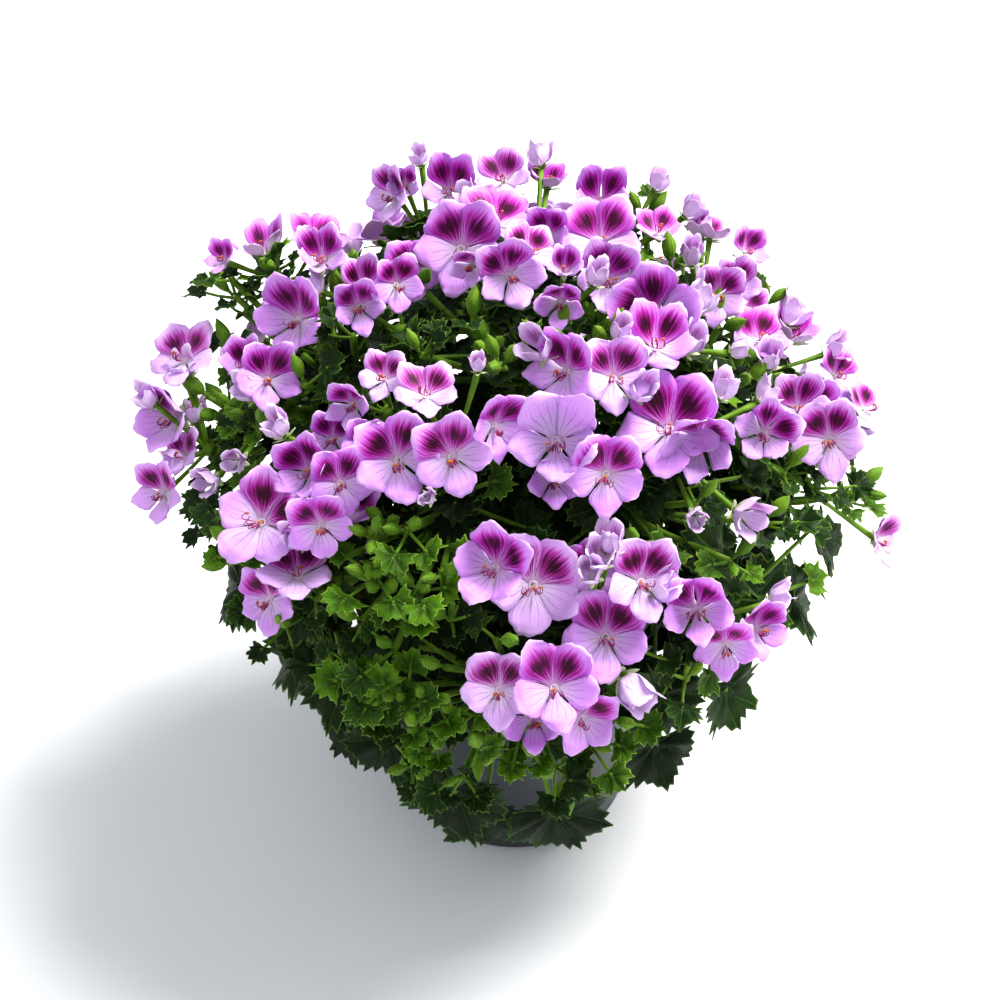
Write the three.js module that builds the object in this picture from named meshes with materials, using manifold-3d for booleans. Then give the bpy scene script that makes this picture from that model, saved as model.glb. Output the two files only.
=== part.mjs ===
// A potted angel pelargonium. A tapered plastic pot holds potting soil, and a woody crown stands in
// a plain hole in it. Leafy stems leave the crown and carry toothed leaves, green buds and the
// stalks of rounded heads of open, five-petalled flowers.
// Units are millimetres, +Z is up, and the origin is the centre of the pot's underside.

import * as THREE from 'three';
import { mergeVertices } from 'three/addons/utils/BufferGeometryUtils.js';
import Module from 'manifold-3d';

const wasm = await Module();
wasm.setup();

// Driving dimensions
const gap = 0.35; // clear space between pieces that touch
const potHeight = 105;
const potTopRadius = 58;
const potFootRadius = 44.5;
const potWall = 1.6;
const potSides = 24;
const rimOverhang = 3;
const rimDepth = 8;
const footDepth = 2.4;
const floorThickness = 1.9;
const soilTop = 92;
const trunkRadius = 6.5;
const trunkFoot = 58;
const crownHeight = 103; // where the trunk divides
const crownReach = 17; // from there to the start of each leafy stem
const domeCentreHeight = 112;
const domeRadius = 126; // from the dome's centre to the throats of the outer flowers
const domeHeight = 138;
const stemShare = 0.74; // of the dome, where the leafy stems end
const flowerReach = 17; // from a head's knob to its throats
const bladeThickness = 0.9; // measured along the blade's own axis, so slopes stay over 0.6
const leafRadius = 17;
const largeLeafRadius = 19;
const budShare = 0.86;
const budLength = 8;
const budRadius = 2.5;

const materials = {
  pot: { color: 0x4a4d50, roughness: 0.45, metalness: 0 },
  soil: { color: 0x2a1d14, roughness: 0.95, metalness: 0 },
  bark: { color: 0x5b5a2c, roughness: 0.8, metalness: 0 },
  leaf: { color: 0x3f6b1c, roughness: 0.6, metalness: 0 },
  petal: { color: 0xd68ae6, roughness: 0.5, metalness: 0 },
};

// Leafy stems: azimuth and elevation of the tip on the dome, in degrees. 0 is +X and -90 is the front.
const stems = [
  [-92, 6], [-38, 10], [12, 8], [66, 10], [122, 8], [-148, 8],
  [-112, 46], [-58, 44], [6, 46], [88, 44], [168, 44], [-80, 82],
];

// Flower heads of the front, laid out as an eye sees them from the front and above, in a view
// 1000 wide and 1000 high. Each flower has the place of its throat there, its width as a share of a
// full flower, where it looks (across and up, with 0, 0 at the eye), and the turn of its upper
// petals in degrees.
const eye = new THREE.Vector3(-6.2, -590.7, 583.7);
const eyePitch = 37; // degrees down
const viewDistance = 2000; // the distance from the eye at which 1 mm is 1 in the view
const viewMiddle = 500;
const frontHeads = [
  [
    [498, 690, 0.85, -0.1, 0, 0], [548, 680, 1, 0.1, 0.05, -5], [537, 718, 0.85, 0, -0.35, 0],
    [585, 720, 0.8, 0.4, -0.3, 20],
  ],
  [[493, 567, 1, -0.25, 0.05, 35], [523, 595, 1.1, 0, 0, 10]],
  [[593, 643, 1, 0.05, 0.1, 5], [640, 605, 0.9, 0.3, 0.1, 0], [600, 590, 0.8, -0.1, 0.2, -30]],
  [[697, 610, 0.95, 0, 0, -5], [760, 628, 0.75, 0.5, 0.05, 10], [730, 648, 0.75, 0.1, -0.5, 0]],
  [[556, 440, 1.15, 0, 0.05, 0], [560, 470, 0.8, 0, -0.35, 0], [603, 460, 0.9, 0.1, -0.1, 5]],
  [
    [398, 460, 1, 0, 0, -15], [442, 458, 0.9, -0.1, 0, -20], [487, 455, 0.75, 0.5, -0.2, 0],
    [430, 408, 0.75, 0, 0.7, 0],
  ],
  [[385, 380, 0.6, -0.2, 0.5, 10], [352, 398, 0.6, -0.3, -0.1, -10]],
  [
    [340, 483, 0.75, 0, 0, -10], [325, 435, 0.6, -0.1, 0.1, 0], [350, 430, 0.6, 0.1, 0.1, 0],
    [303, 455, 0.8, -0.4, 0.1, -20],
  ],
  [[272, 500, 1.1, -0.3, 0.3, 40], [320, 520, 0.75, -0.1, -0.25, -10], [325, 488, 0.8, 0.3, 0.4, 30]],
  [[297, 570, 0.85, -0.1, 0.7, 0], [268, 597, 0.8, -0.6, -0.1, 0]],
  [
    [168, 418, 1, -0.6, 0, 10], [170, 447, 0.8, -0.4, 0.5, 0], [172, 380, 0.9, -0.4, 0.6, 0],
    [158, 493, 0.8, -0.6, 0, 0],
  ],
  [[228, 380, 0.7, -0.1, 0.6, 0], [268, 378, 0.8, 0.1, 0.2, 5]],
  [[293, 318, 1, -0.5, 0.15, 20]],
  [[325, 275, 0.75, 0, 0.2, 0], [352, 268, 0.7, 0.3, 0.3, -15], [382, 280, 0.75, 0.2, 0.2, -5]],
  [[398, 285, 0.65, 0.3, 0, -10], [368, 306, 0.65, 0, 0, -15]],
  [[262, 246, 0.8, -0.2, 0.9, 0], [305, 247, 0.8, 0.2, 0.8, 0], [228, 253, 0.5, -0.5, 0.5, 0]],
  [[390, 195, 0.75, -0.7, 0.2, 10], [413, 206, 0.5, -0.2, -0.3, 0], [447, 188, 0.85, 0, 0.4, 0]],
  [
    [457, 243, 1.05, 0, 0.05, 10], [455, 263, 0.5, -0.3, -0.3, 0], [495, 216, 0.95, 0.1, 0.8, 0],
    [503, 270, 0.85, 0.1, 0, -25],
  ],
  [
    [530, 190, 0.75, -0.3, 0.4, -10], [548, 180, 0.6, 0.1, 0.9, 0], [548, 234, 0.65, -0.1, 0.2, 0],
    [530, 250, 0.7, 0.3, 0.5, 0],
  ],
  [[605, 198, 0.85, 0, 0.4, 0], [658, 228, 0.65, 0.1, 0.8, 0]],
  [[595, 238, 1, -0.05, 0.2, 0], [607, 262, 0.85, 0.2, 0.1, 5]],
  [[560, 303, 0.65, -0.1, -0.2, 10], [565, 268, 0.5, 0.1, 0.6, 0]],
  [[655, 315, 1.15, 0, 0.05, -35]],
  [[562, 370, 0.9, -0.5, 0.1, 15], [612, 378, 0.85, 0.2, 0.2, 0], [640, 350, 0.9, 0.2, 0.6, 0]],
  [[675, 410, 1.2, 0, 0.4, 5], [700, 443, 1, 0, -0.4, 10]],
  [
    [712, 232, 0.6, 0.3, 0.9, 0], [733, 250, 0.6, 0.5, 0.4, 0], [735, 285, 0.7, 0.2, 0.4, 0],
    [745, 295, 0.6, 0.5, 0.3, 20], [718, 295, 0.7, 0.1, 0.1, 10],
  ],
  [[760, 335, 0.8, 0.4, 0.6, 0], [800, 340, 0.8, 0.3, 0.8, 0], [835, 365, 0.7, 0.6, 0.4, 10]],
  [[785, 378, 0.8, 0.2, 0.3, -10], [812, 402, 0.7, 0.4, 0.2, 0], [835, 385, 0.7, 0.6, 0.6, 0]],
  [[765, 433, 0.85, 0.1, 0, 40], [812, 437, 0.9, -0.1, 0.05, -10], [878, 485, 0.65, 0.8, 0, 0]],
];

// Flower heads of the back: azimuth, elevation, open flowers, turn of the first, and spread in mm.
const backHeads = [
  [30, 14, 3, 20, 12], [57, 28, 3, 80, 12], [80, 10, 2, 50, 11], [86, 40, 3, 100, 12],
  [108, 24, 3, 140, 12], [132, 8, 2, 10, 11], [124, 42, 3, 60, 12], [148, 26, 3, 30, 12],
];

// Heads that are still in bud: those of the front by their place in the same view, those of the
// back by azimuth and elevation, and then the number of buds.
const frontBuds = [
  [488, 352, 3], [596, 328, 3], [733, 366, 2], [206, 396, 3], [230, 562, 2], [386, 524, 3], [392, 574, 3],
  [386, 700, 3], [424, 756, 3], [500, 744, 3], [566, 782, 3], [862, 490, 2],
];
const backBuds = [[100, 0, 2], [68, 62, 2], [164, 58, 2]];

// The large low leaves of the front and sides: azimuth, elevation, share of the dome, and radius.
const lowLeaves = [
  [-103, -15, 0.82, 21], [-82, -22, 0.82, 21], [-98, -28, 0.8, 19], [-118, -9, 0.82, 19],
  [-131, -14, 0.76, 19], [-127, 6, 0.82, 19], [-144, 2, 0.82, 20], [-156, -12, 0.74, 20],
  [-61, -8, 0.8, 18], [-62, 7, 0.84, 17], [-46, 0, 0.84, 16], [-20, 5, 0.86, 18],
  [-5, 8, 0.92, 16], [-33, 13, 0.83, 17], [-108, 6, 0.85, 17], [-115, 18, 0.84, 17],
  [-140, 16, 0.82, 18], [-172, -1, 0.84, 18], [176, 12, 0.9, 16], [160, 37, 0.92, 15],
];

// Half of a flower's outline from its upper petals round to its lowest petal: angle in degrees,
// radius and lift. The deep points are the notches between petals.
const flowerHalf = [
  [20, 15.6, 4], [50, 15.4, 2.8], [71, 6.4, -0.8], [90, 14, 0.6], [118, 13.8, 0.6],
  [140, 6, -1.4], [163, 15.2, 0.6],
];
const throatDepth = -4;

// Half of the outline of a small and of a large leaf, from the tip round to the notch at the
// stalk: angle in degrees, then radius and lift as shares of the leaf's radius.
const leafHalf = [
  [0, 1, 0.02], [24, 0.8, -0.05], [50, 1, 0.08], [76, 0.78, -0.04], [112, 0.92, 0.08], [180, 0.22, -0.1],
];
const largeLeafHalf = [
  [0, 1, 0.02], [21, 0.8, -0.05], [44, 1, 0.08], [66, 0.78, -0.04],
  [94, 0.96, 0.1], [136, 0.84, 0.04], [180, 0.22, -0.1],
];
const leafCup = -0.12;

// Shapes of chance. A draw is the same for the same two seeds, in any order.
function draw(a, b) {
  const x = Math.sin(a * 12.9898 + b * 78.233) * 43758.5453;
  return x - Math.floor(x);
}

const spreadDraw = (a, b) => 2 * draw(a, b) - 1;
const radians = THREE.MathUtils.degToRad;
const up = new THREE.Vector3(0, 0, 1);
const domeCentre = new THREE.Vector3(0, 0, domeCentreHeight);

function direction(azimuth, elevation) {
  const a = radians(azimuth);
  const e = radians(elevation);
  return new THREE.Vector3(Math.cos(e) * Math.cos(a), Math.cos(e) * Math.sin(a), Math.sin(e));
}

function onDome(azimuth, elevation, share) {
  const size = new THREE.Vector3(domeRadius, domeRadius, domeHeight).multiplyScalar(share);
  return direction(azimuth, elevation).multiply(size).add(domeCentre);
}

// A right-handed frame whose z is normal and whose y is as near towards as it can be.
function frameOf(normal, towards) {
  const z = normal.clone().normalize();
  const y = towards.clone().addScaledVector(z, -towards.dot(z)).normalize();
  return { x: y.clone().cross(z), y, z };
}

function inFrame(frame, origin, x, y, z) {
  return origin.clone().addScaledVector(frame.x, x).addScaledVector(frame.y, y).addScaledVector(frame.z, z);
}

// The line of sight to a place in the view
const viewUp = direction(90, 90 - eyePitch);
const viewAway = direction(90, -eyePitch);

function sightTo(x, y) {
  const away = viewAway.clone().multiplyScalar(viewDistance).addScaledVector(viewUp, viewMiddle - y);
  away.x += x - viewMiddle;
  return away.normalize();
}

// Where a line of sight first meets a share of the dome, or the point of it that comes nearest.
function seenOnDome(x, y, share) {
  const size = new THREE.Vector3(domeRadius, domeRadius, domeHeight).multiplyScalar(share);
  const sight = sightTo(x, y);
  const start = eye.clone().sub(domeCentre).divide(size);
  const along = sight.clone().divide(size);
  const nearest = -start.dot(along) / along.lengthSq();
  const reach = (1 - start.lengthSq()) / along.lengthSq() + nearest * nearest;
  return eye.clone().addScaledVector(sight, nearest - Math.sqrt(Math.max(reach, 0)));
}

// Solids
function solidFrom(points, triangles) {
  const make = (order) => new wasm.Manifold(new wasm.Mesh({
    numProp: 3,
    vertProperties: new Float32Array(points.flatMap((p) => [p.x, p.y, p.z])),
    triVerts: new Uint32Array(order.flat()),
  }));
  const made = make(triangles);
  return made.volume() > 0 ? made : make(triangles.map(([a, b, c]) => [a, c, b]));
}

function solidOf(geometry) {
  geometry.deleteAttribute('normal');
  geometry.deleteAttribute('uv');
  const merged = mergeVertices(geometry, 1e-3);
  return new wasm.Manifold(new wasm.Mesh({
    numProp: 3,
    vertProperties: merged.attributes.position.array,
    triVerts: new Uint32Array(merged.index.array),
  }));
}

// The union of several solids, without the loose scraps that a cut may leave.
function fuse(solids) {
  const bodies = wasm.Manifold.union(solids).simplify(0.02).decompose();
  return bodies.reduce((a, b) => (b.volume() > a.volume() ? b : a));
}

function meshOf(name, solid, material) {
  const { vertProperties, triVerts } = solid.getMesh();
  const geometry = new THREE.BufferGeometry();
  geometry.setAttribute('position', new THREE.BufferAttribute(vertProperties, 3));
  geometry.setIndex(new THREE.BufferAttribute(triVerts, 1));
  geometry.computeVertexNormals();
  const mesh = new THREE.Mesh(geometry, new THREE.MeshStandardMaterial(material));
  mesh.name = name;
  return mesh;
}

// A solid through rings of as many points each, that may end in a single point.
function loft(rings) {
  const sides = rings[0].length;
  const last = rings.length - 1;
  const pointed = rings[last].length === 1;
  const triangles = [];
  for (let k = 0; k < sides; k++) {
    const next = (k + 1) % sides;
    for (let i = 0; i < last; i++) {
      const a = i * sides;
      const b = a + sides;
      if (i === last - 1 && pointed) {
        triangles.push([a + k, a + next, b]);
      } else {
        triangles.push([a + k, a + next, b + k], [a + next, b + next, b + k]);
      }
    }
  }
  for (let k = 1; k < sides - 1; k++) {
    triangles.push([0, k + 1, k]);
    if (!pointed) triangles.push([last * sides, last * sides + k, last * sides + k + 1]);
  }
  return solidFrom(rings.flat(), triangles);
}

// A ring of points about a point, square to way, whose corners start nearest to side.
function ring(point, radius, sides, way, side) {
  const frame = frameOf(way, side);
  return Array.from({ length: sides }, (_, k) => {
    const a = (2 * Math.PI * k) / sides;
    return inFrame(frame, point, radius * Math.sin(a), radius * Math.cos(a), 0);
  });
}

// A tapered bar along points. A last radius of 0 makes a point, and endWay turns the last ring.
function bar(points, radii, sides, endWay = null) {
  const last = points.length - 1;
  let side = new THREE.Vector3(0.28, 0.2, 0.94);
  const rings = points.map((p, i) => {
    const along = points[Math.min(i + 1, last)].clone().sub(points[Math.max(i - 1, 0)]);
    const way = i === last && endWay ? endWay : along.normalize();
    side = frameOf(way, side).y;
    return i === last && radii[last] === 0 ? [p] : ring(p, radii[i], sides, way, side);
  });
  return loft(rings);
}

// A thin blade fanned out from its middle, with the same triangles on both faces, and a
// three-sided stalk that leaves the middle of its underside along line. There is none if the
// stalk would leave along the blade or through it.
function stalkedBlade(frame, origin, outline, middle, line, radii) {
  const n = outline.length;
  const place = ([x, y, z], side) => inFrame(frame, origin, x, y, z + (side * bladeThickness) / 2);
  const back = place(middle, -1);
  if (line[0].clone().sub(back).normalize().dot(frame.z) > -0.3) return null;
  const foot = ring(back, radii[0], 3, frame.z, inFrame(frame, new THREE.Vector3(), 0.87, 0.5, 0));
  const vertices = [...outline.map((p) => place(p, 1)), ...outline.map((p) => place(p, -1)), ...foot];
  const top = vertices.push(place(middle, 1)) - 1;
  const corner = (k) => 2 * n + Math.floor((3 * k) / n);
  const triangles = [[2 * n, 2 * n + 2, 2 * n + 1]];
  for (let a = 0; a < n; a++) {
    const b = (a + 1) % n;
    triangles.push([top, a, b], [a, n + a, b], [b, n + a, n + b], [corner(a), n + b, n + a]);
    if (corner(b) !== corner(a)) triangles.push([n + b, corner(a), corner(b)]);
  }
  const face = solidFrom(vertices, triangles);
  const points = [back, ...line];
  const rings = points.map((p, i) => {
    if (i === 0) return foot;
    const way = points[Math.min(i + 1, points.length - 1)].clone().sub(points[i - 1]).negate().normalize();
    const side = frame.y.clone().multiplyScalar(0.5).addScaledVector(frame.x, 0.87);
    return ring(p, radii[i], 3, way, side);
  });
  return { face, stalk: loft(rings) };
}

// A whole outline from its half, as points in a blade's own frame.
function outlineOf(half, size) {
  const point = ([angle, radius, lift], mirror) => {
    const a = radians(angle);
    return [mirror * radius * size * Math.sin(a), radius * size * Math.cos(a), lift * size];
  };
  const offAxis = half.filter(([angle]) => angle % 180 !== 0);
  return [...half.map((p) => point(p, 1)), ...offAxis.map((p) => point(p, -1)).reverse()];
}

// The pieces already in place. A new one must be clear of every other node's, and a blade may be
// asked to be clear of all else in its own node too.
const placed = [];

function boxesApart(a, b) {
  return [0, 1, 2].some((i) => a.min[i] > b.max[i] + gap || b.min[i] > a.max[i] + gap);
}

function isClear(solid, node, isBlade = false, isStrict = false) {
  const box = solid.boundingBox();
  return placed.every((other) => (
    (other.node === node && !(isStrict && (isBlade || other.isBlade)))
    || boxesApart(box, other.box)
    || solid.minGap(other.solid, gap) >= 0.99 * gap
  ));
}

function claim(solid, node, isBlade = false) {
  placed.push({ solid, node, isBlade, box: solid.boundingBox() });
}

// The first of several ways to make a blade and its stalk that is clear, both claimed.
function placeBlade(node, ways, make, isStrict) {
  for (const way of ways) {
    const made = make(way);
    if (made && isClear(made.face, node, true, isStrict) && isClear(made.stalk, node, false, isStrict)) {
      claim(made.face, node, true);
      claim(made.stalk, node);
      return [made.face, made.stalk];
    }
  }
  return null;
}

// The pot
function makePot() {
  const foot = 37;
  const pad = 18;
  const floorTop = footDepth + floorThickness;
  const rimUnder = potHeight - rimDepth;
  const rimRadius = potTopRadius + rimOverhang;
  const profile = [
    [0, 0], [pad, 0], [pad + 1, footDepth], [foot - 1, footDepth], [foot, 0], [potFootRadius - 0.6, 0],
    [potTopRadius, rimUnder], [rimRadius, rimUnder + 1], [rimRadius, potHeight],
    [rimRadius - 3, potHeight], [potFootRadius - potWall, floorTop], [0, floorTop],
  ].map(([r, z]) => new THREE.Vector2(r, z));
  const shell = new THREE.LatheGeometry(profile, potSides).rotateX(Math.PI / 2);
  const holes = [45, 135, 225, 315].map((azimuth) => {
    const hole = new THREE.CylinderGeometry(3.5, 3.5, 3 * floorTop, 6).rotateX(Math.PI / 2);
    return solidOf(hole.translate(...direction(azimuth, 0).multiplyScalar((pad + foot) / 2)));
  });
  return holes.reduce((pot, hole) => pot.subtract(hole), solidOf(shell));
}

// The soil: a frustum with a lumpy top and one plain hole for the trunk
function makeSoil() {
  const bottom = footDepth + floorThickness + gap;
  const taper = (potTopRadius - potFootRadius + potWall) / (potHeight - bottom);
  const inner = (z) => potFootRadius + (z - bottom) * taper - potWall - 1.5 * gap;
  const rings = [0.35, 0.7, 1];
  const profile = [
    new THREE.Vector2(0, bottom), new THREE.Vector2(inner(bottom) - 1, bottom),
    ...rings.map((share) => new THREE.Vector2(inner(soilTop) * share, soilTop)).reverse(),
    new THREE.Vector2(0, soilTop),
  ];
  const body = new THREE.LatheGeometry(profile, potSides).rotateX(Math.PI / 2);
  const position = body.attributes.position;
  for (let i = 0; i < position.count; i++) {
    const [x, y, z] = [position.getX(i), position.getY(i), position.getZ(i)];
    const relief = 1.3 * Math.sin(x * 0.31 + 1) * Math.sin(y * 0.27) + 0.7 * Math.sin(x * 0.9 + y * 0.7);
    if (z > soilTop - 1) position.setZ(i, z + relief);
  }
  const depth = soilTop - trunkFoot + 6;
  const hole = new THREE.CylinderGeometry(trunkRadius + gap, trunkRadius + gap, depth, 10);
  hole.rotateX(Math.PI / 2).translate(0, 0, trunkFoot - gap + depth / 2);
  return solidOf(body).subtract(solidOf(hole));
}

// The crown: a woody trunk that divides into a short branch for each leafy stem
const crownCentre = new THREE.Vector3(0, 0, crownHeight);
const branchDirection = ([azimuth, elevation]) => direction(azimuth, Math.max(0.9 * elevation, 24));

function makeCrown() {
  const trunk = new THREE.CylinderGeometry(trunkRadius, trunkRadius, crownHeight + 2 - trunkFoot, 10);
  trunk.rotateX(Math.PI / 2).translate(0, 0, (crownHeight + 2 + trunkFoot) / 2);
  const branches = stems.map((stem) => {
    const way = branchDirection(stem);
    const end = crownCentre.clone().addScaledVector(way, crownReach);
    return bar([crownCentre, end], [3.6, 3.3], 4);
  });
  return fuse([solidOf(trunk), ...branches]);
}

// A leafy stem's own line, from the crown to its tip: points at a few shares of a curve
const stemShares = [0, 0.12, 0.4, 0.7, 1];
const stemLines = stems.map(([azimuth, elevation]) => {
  const way = branchDirection([azimuth, elevation]);
  const start = crownCentre.clone().addScaledVector(way, crownReach + gap);
  const bend = crownCentre.clone().addScaledVector(way, 2.9 * crownReach);
  const curve = new THREE.QuadraticBezierCurve3(start, bend, onDome(azimuth, elevation, stemShare));
  const points = stemShares.map((share) => curve.getPoint(share));
  points[1] = start.clone().addScaledVector(way, start.distanceTo(points[1]));
  return points;
});

function alongStem(stem, share) {
  const i = Math.max(stemShares.findIndex((end) => end >= share), 1);
  const part = (share - stemShares[i - 1]) / (stemShares[i] - stemShares[i - 1]);
  return stemLines[stem][i - 1].clone().lerp(stemLines[stem][i], part);
}

const stemNames = stems.map((_, i) => `leafy_stem_${String(i + 1).padStart(2, '0')}`);

function nearestStem(way) {
  const nearness = stems.map(([azimuth, elevation]) => direction(azimuth, elevation).dot(way));
  return nearness.indexOf(Math.max(...nearness));
}

function makeStem(i) {
  return bar(stemLines[i], [3.1, 3, 2.7, 2.3, 1.7], 4);
}

// A stalk from a leafy stem to the knob of an umbel. The first of its ways that is clear is taken.
const stalkRoots = [0.92, 0.82, 0.72, 0.62, 0.52, 0.42, 0.32];
const stalkSwings = [0, 0.3, -0.3, 0.6, -0.6];

function makeStalk(node, stem, hub, axis, radius, sides, knobLength) {
  for (const swing of stalkSwings) {
    for (const share of stalkRoots) {
      const root = alongStem(stem, share + 0.06 * spreadDraw(hub.x, hub.y));
      const reach = hub.distanceTo(root);
      const aside = axis.clone().cross(root.clone().sub(hub).normalize()).multiplyScalar(swing * reach);
      const bend = hub.clone().addScaledVector(axis, -0.45 * reach).add(aside);
      const neck = hub.clone().addScaledVector(axis, -knobLength);
      const line = knobLength > 0 ? [root, bend, neck, hub] : [root, bend, hub];
      const stalk = bar(line, [1.1 * radius, radius, radius, 2.1 * radius], sides, axis);
      if (isClear(stalk, node)) return stalk;
    }
  }
  return null;
}

// The poses of a flower. Later ones move it along its head's axis, out or in, and round it, lean
// its face towards that axis, or make it smaller.
const flowerSizes = [1, 0.9, 0.8];
const flowerLeans = [0, 0.35, 0.7];
const flowerSteps = [0, -4, 4, -8, 8, -12];
const flowerPulls = [0, -0.25, 0.25, -0.5];
const flowerTurns = [0, 15, -15, 30, -30];
const flowerPoses = flowerSizes.flatMap((shrink) => flowerLeans.flatMap((lean) => (
  flowerSteps.flatMap((step) => flowerPulls.flatMap((pull) => (
    flowerTurns.map((turn) => ({ shrink, lean, step, pull, turn }))))))));

function frontFlower([x, y, size, across, above, turn]) {
  const sight = sightTo(x, y);
  const face = sight.clone().multiplyScalar(-Math.sqrt(1 - across * across - above * above));
  face.addScaledVector(viewUp, above);
  face.x += across;
  const towards = viewUp.clone().multiplyScalar(Math.cos(radians(turn)));
  towards.x += Math.sin(radians(turn));
  return { throat: seenOnDome(x, y, 1), face: face.normalize(), towards, size };
}

function backFlower([azimuth, elevation, count, turn, spread], f, seed) {
  const outward = onDome(azimuth, elevation, 1).sub(domeCentre).normalize();
  const frame = frameOf(outward, up);
  const angle = radians(turn + (360 * f) / count + 12 * spreadDraw(seed, 1));
  const side = inFrame(frame, new THREE.Vector3(), Math.cos(angle), Math.sin(angle), 0);
  const away = spread * (1 + 0.12 * spreadDraw(seed, 2));
  const throat = onDome(azimuth, elevation, 1).addScaledVector(side, away);
  const chance = new THREE.Vector3(spreadDraw(seed, 4), spreadDraw(seed, 5), spreadDraw(seed, 6));
  const face = outward.clone().addScaledVector(side, spread / 22).addScaledVector(chance, 0.3);
  return { throat, face: face.normalize(), towards: up, size: 0.88 + 0.12 * spreadDraw(seed, 8) };
}

// Every head: its flowers, the way that it points, and its hub, where the flowers' stalks meet
const heads = [
  ...frontHeads.map((flowers) => flowers.map(frontFlower)),
  ...backHeads.map((head, h) => (
    Array.from({ length: head[2] }, (_, f) => backFlower(head, f, 500 + 10 * h + f))
  )),
].map((flowers) => {
  const middle = flowers.reduce((sum, { throat }) => sum.add(throat), new THREE.Vector3());
  middle.divideScalar(flowers.length);
  const outward = middle.clone().sub(domeCentre).normalize();
  return { flowers, outward, hub: middle.clone().addScaledVector(outward, -flowerReach) };
});

function flowerPlace(h, f, pose) {
  const { flowers, outward, hub } = heads[h];
  const { throat, face, towards, size } = flowers[f];
  const reach = throat.clone().sub(hub).dot(outward);
  const side = throat.clone().sub(hub).addScaledVector(outward, -reach);
  side.multiplyScalar(1 - pose.pull).applyAxisAngle(outward, radians(pose.turn));
  const place = hub.clone().addScaledVector(outward, reach + pose.step).add(side);
  const leant = face.clone().lerp(outward, pose.lean);
  return { frame: frameOf(leant, towards), throat: place, size: size * pose.shrink };
}

function makeFlower(h, f, pose) {
  const { frame, throat, size } = flowerPlace(h, f, pose);
  const { hub, outward, flowers } = heads[h];
  const aside = throat.clone().sub(hub).cross(outward).cross(outward).normalize().multiplyScalar(-1);
  const root = hub.clone().addScaledVector(outward, 1.4).addScaledVector(aside, flowers.length > 1 ? 1 : 0);
  const outline = outlineOf(flowerHalf, size);
  return stalkedBlade(frame, throat, outline, [0, 0, throatDepth * size], [root], [0.9, 0.9]);
}

const headNames = heads.map((_, i) => `flower_head_${String(i + 1).padStart(2, '0')}`);

function makeHead(h) {
  const node = headNames[h];
  const { flowers, outward, hub } = heads[h];
  const knobTop = hub.clone().addScaledVector(outward, 3);
  const knob = bar([hub.clone().addScaledVector(outward, gap), knobTop], [2.3, 2.3], 4);
  claim(knob, node);
  const placedFlowers = flowers.map((_, f) => {
    const make = (pose) => makeFlower(h, f, pose);
    return placeBlade(node, flowerPoses, make, true) ?? placeBlade(node, flowerPoses, make, false) ?? [];
  });
  return [knob, ...placedFlowers.flat()];
}

// The poses of a leaf on its stalk. Later ones swing it aside, bend its stalk inwards instead of
// up, sink it or make it smaller.
const leafSwings = [0, 16, -16, 32, -32, 48, -48];
const leafSinks = [0, 7, 14];
const leafSizes = [1, 0.85, 0.7];
const leafPoses = leafSizes.flatMap((shrink) => leafSinks.flatMap((sink) => (
  [false, true].flatMap((inwards) => leafSwings.map((swing) => ({ shrink, sink, inwards, swing }))))));

// Leaf places: a spiral of leaves over the dome in three layers, then the large low leaves.
const domeLeaves = 25;
const backLeaves = 10;
const goldenAngle = 137.508;
const layers = [0.87, 0.79, 0.72];
const leaves = [
  ...Array.from({ length: domeLeaves }, (_, k) => {
    const height = THREE.MathUtils.lerp(Math.sin(radians(82)), Math.sin(radians(16)), (k + 0.5) / domeLeaves);
    const elevation = THREE.MathUtils.radToDeg(Math.asin(height));
    const radius = leafRadius * (1 + 0.14 * spreadDraw(k, 11));
    return { azimuth: k * goldenAngle, elevation, share: layers[k % 3], radius };
  }),
  ...lowLeaves.map(([azimuth, elevation, share, radius]) => ({ azimuth, elevation, share, radius })),
  ...Array.from({ length: backLeaves }, (_, k) => {
    const radius = largeLeafRadius * (1 + 0.1 * spreadDraw(k, 13));
    const azimuth = 12 + 17 * k + 4 * spreadDraw(k, 12);
    return { azimuth, elevation: k % 2 ? 5 : -14, share: k % 2 ? 0.87 : 0.8, radius };
  }),
];

function leafPlace(k, pose) {
  const { azimuth, elevation, share, radius } = leaves[k];
  const size = radius * pose.shrink;
  const outward = direction(azimuth, elevation);
  const middle = onDome(azimuth, elevation, share).addScaledVector(outward, -pose.sink);
  const stem = nearestStem(outward);
  const tip = alongStem(stem, 1);
  const normal = outward.clone().addScaledVector(up, 0.35);
  normal.add(new THREE.Vector3(spreadDraw(k, 14), spreadDraw(k, 15), spreadDraw(k, 16)).multiplyScalar(0.25));
  const away = middle.clone().sub(tip).normalize().addScaledVector(up, elevation < 10 ? -1 : -0.25);
  const level = frameOf(normal, away);
  const a = radians(pose.swing + 20 * spreadDraw(k, 17));
  const frame = frameOf(level.z, inFrame(level, new THREE.Vector3(), Math.sin(a), Math.cos(a), 0));
  const joint = inFrame(frame, middle, 0, 0, leafCup * size);
  const shares = [0.25, 0.35, 0.45, 0.55, 0.65, 0.75, 0.85, 0.95];
  const stalkLength = 1.35 * size;
  const misfit = (t) => Math.abs(alongStem(stem, t).distanceTo(joint) - stalkLength);
  const nearest = shares.reduce((best, t) => (misfit(t) < misfit(best) ? t : best));
  const rootShare = Math.min(nearest + 0.1 * draw(k, 18), 0.98);
  return { frame, middle, size, joint, stem, root: alongStem(stem, rootShare) };
}

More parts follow.
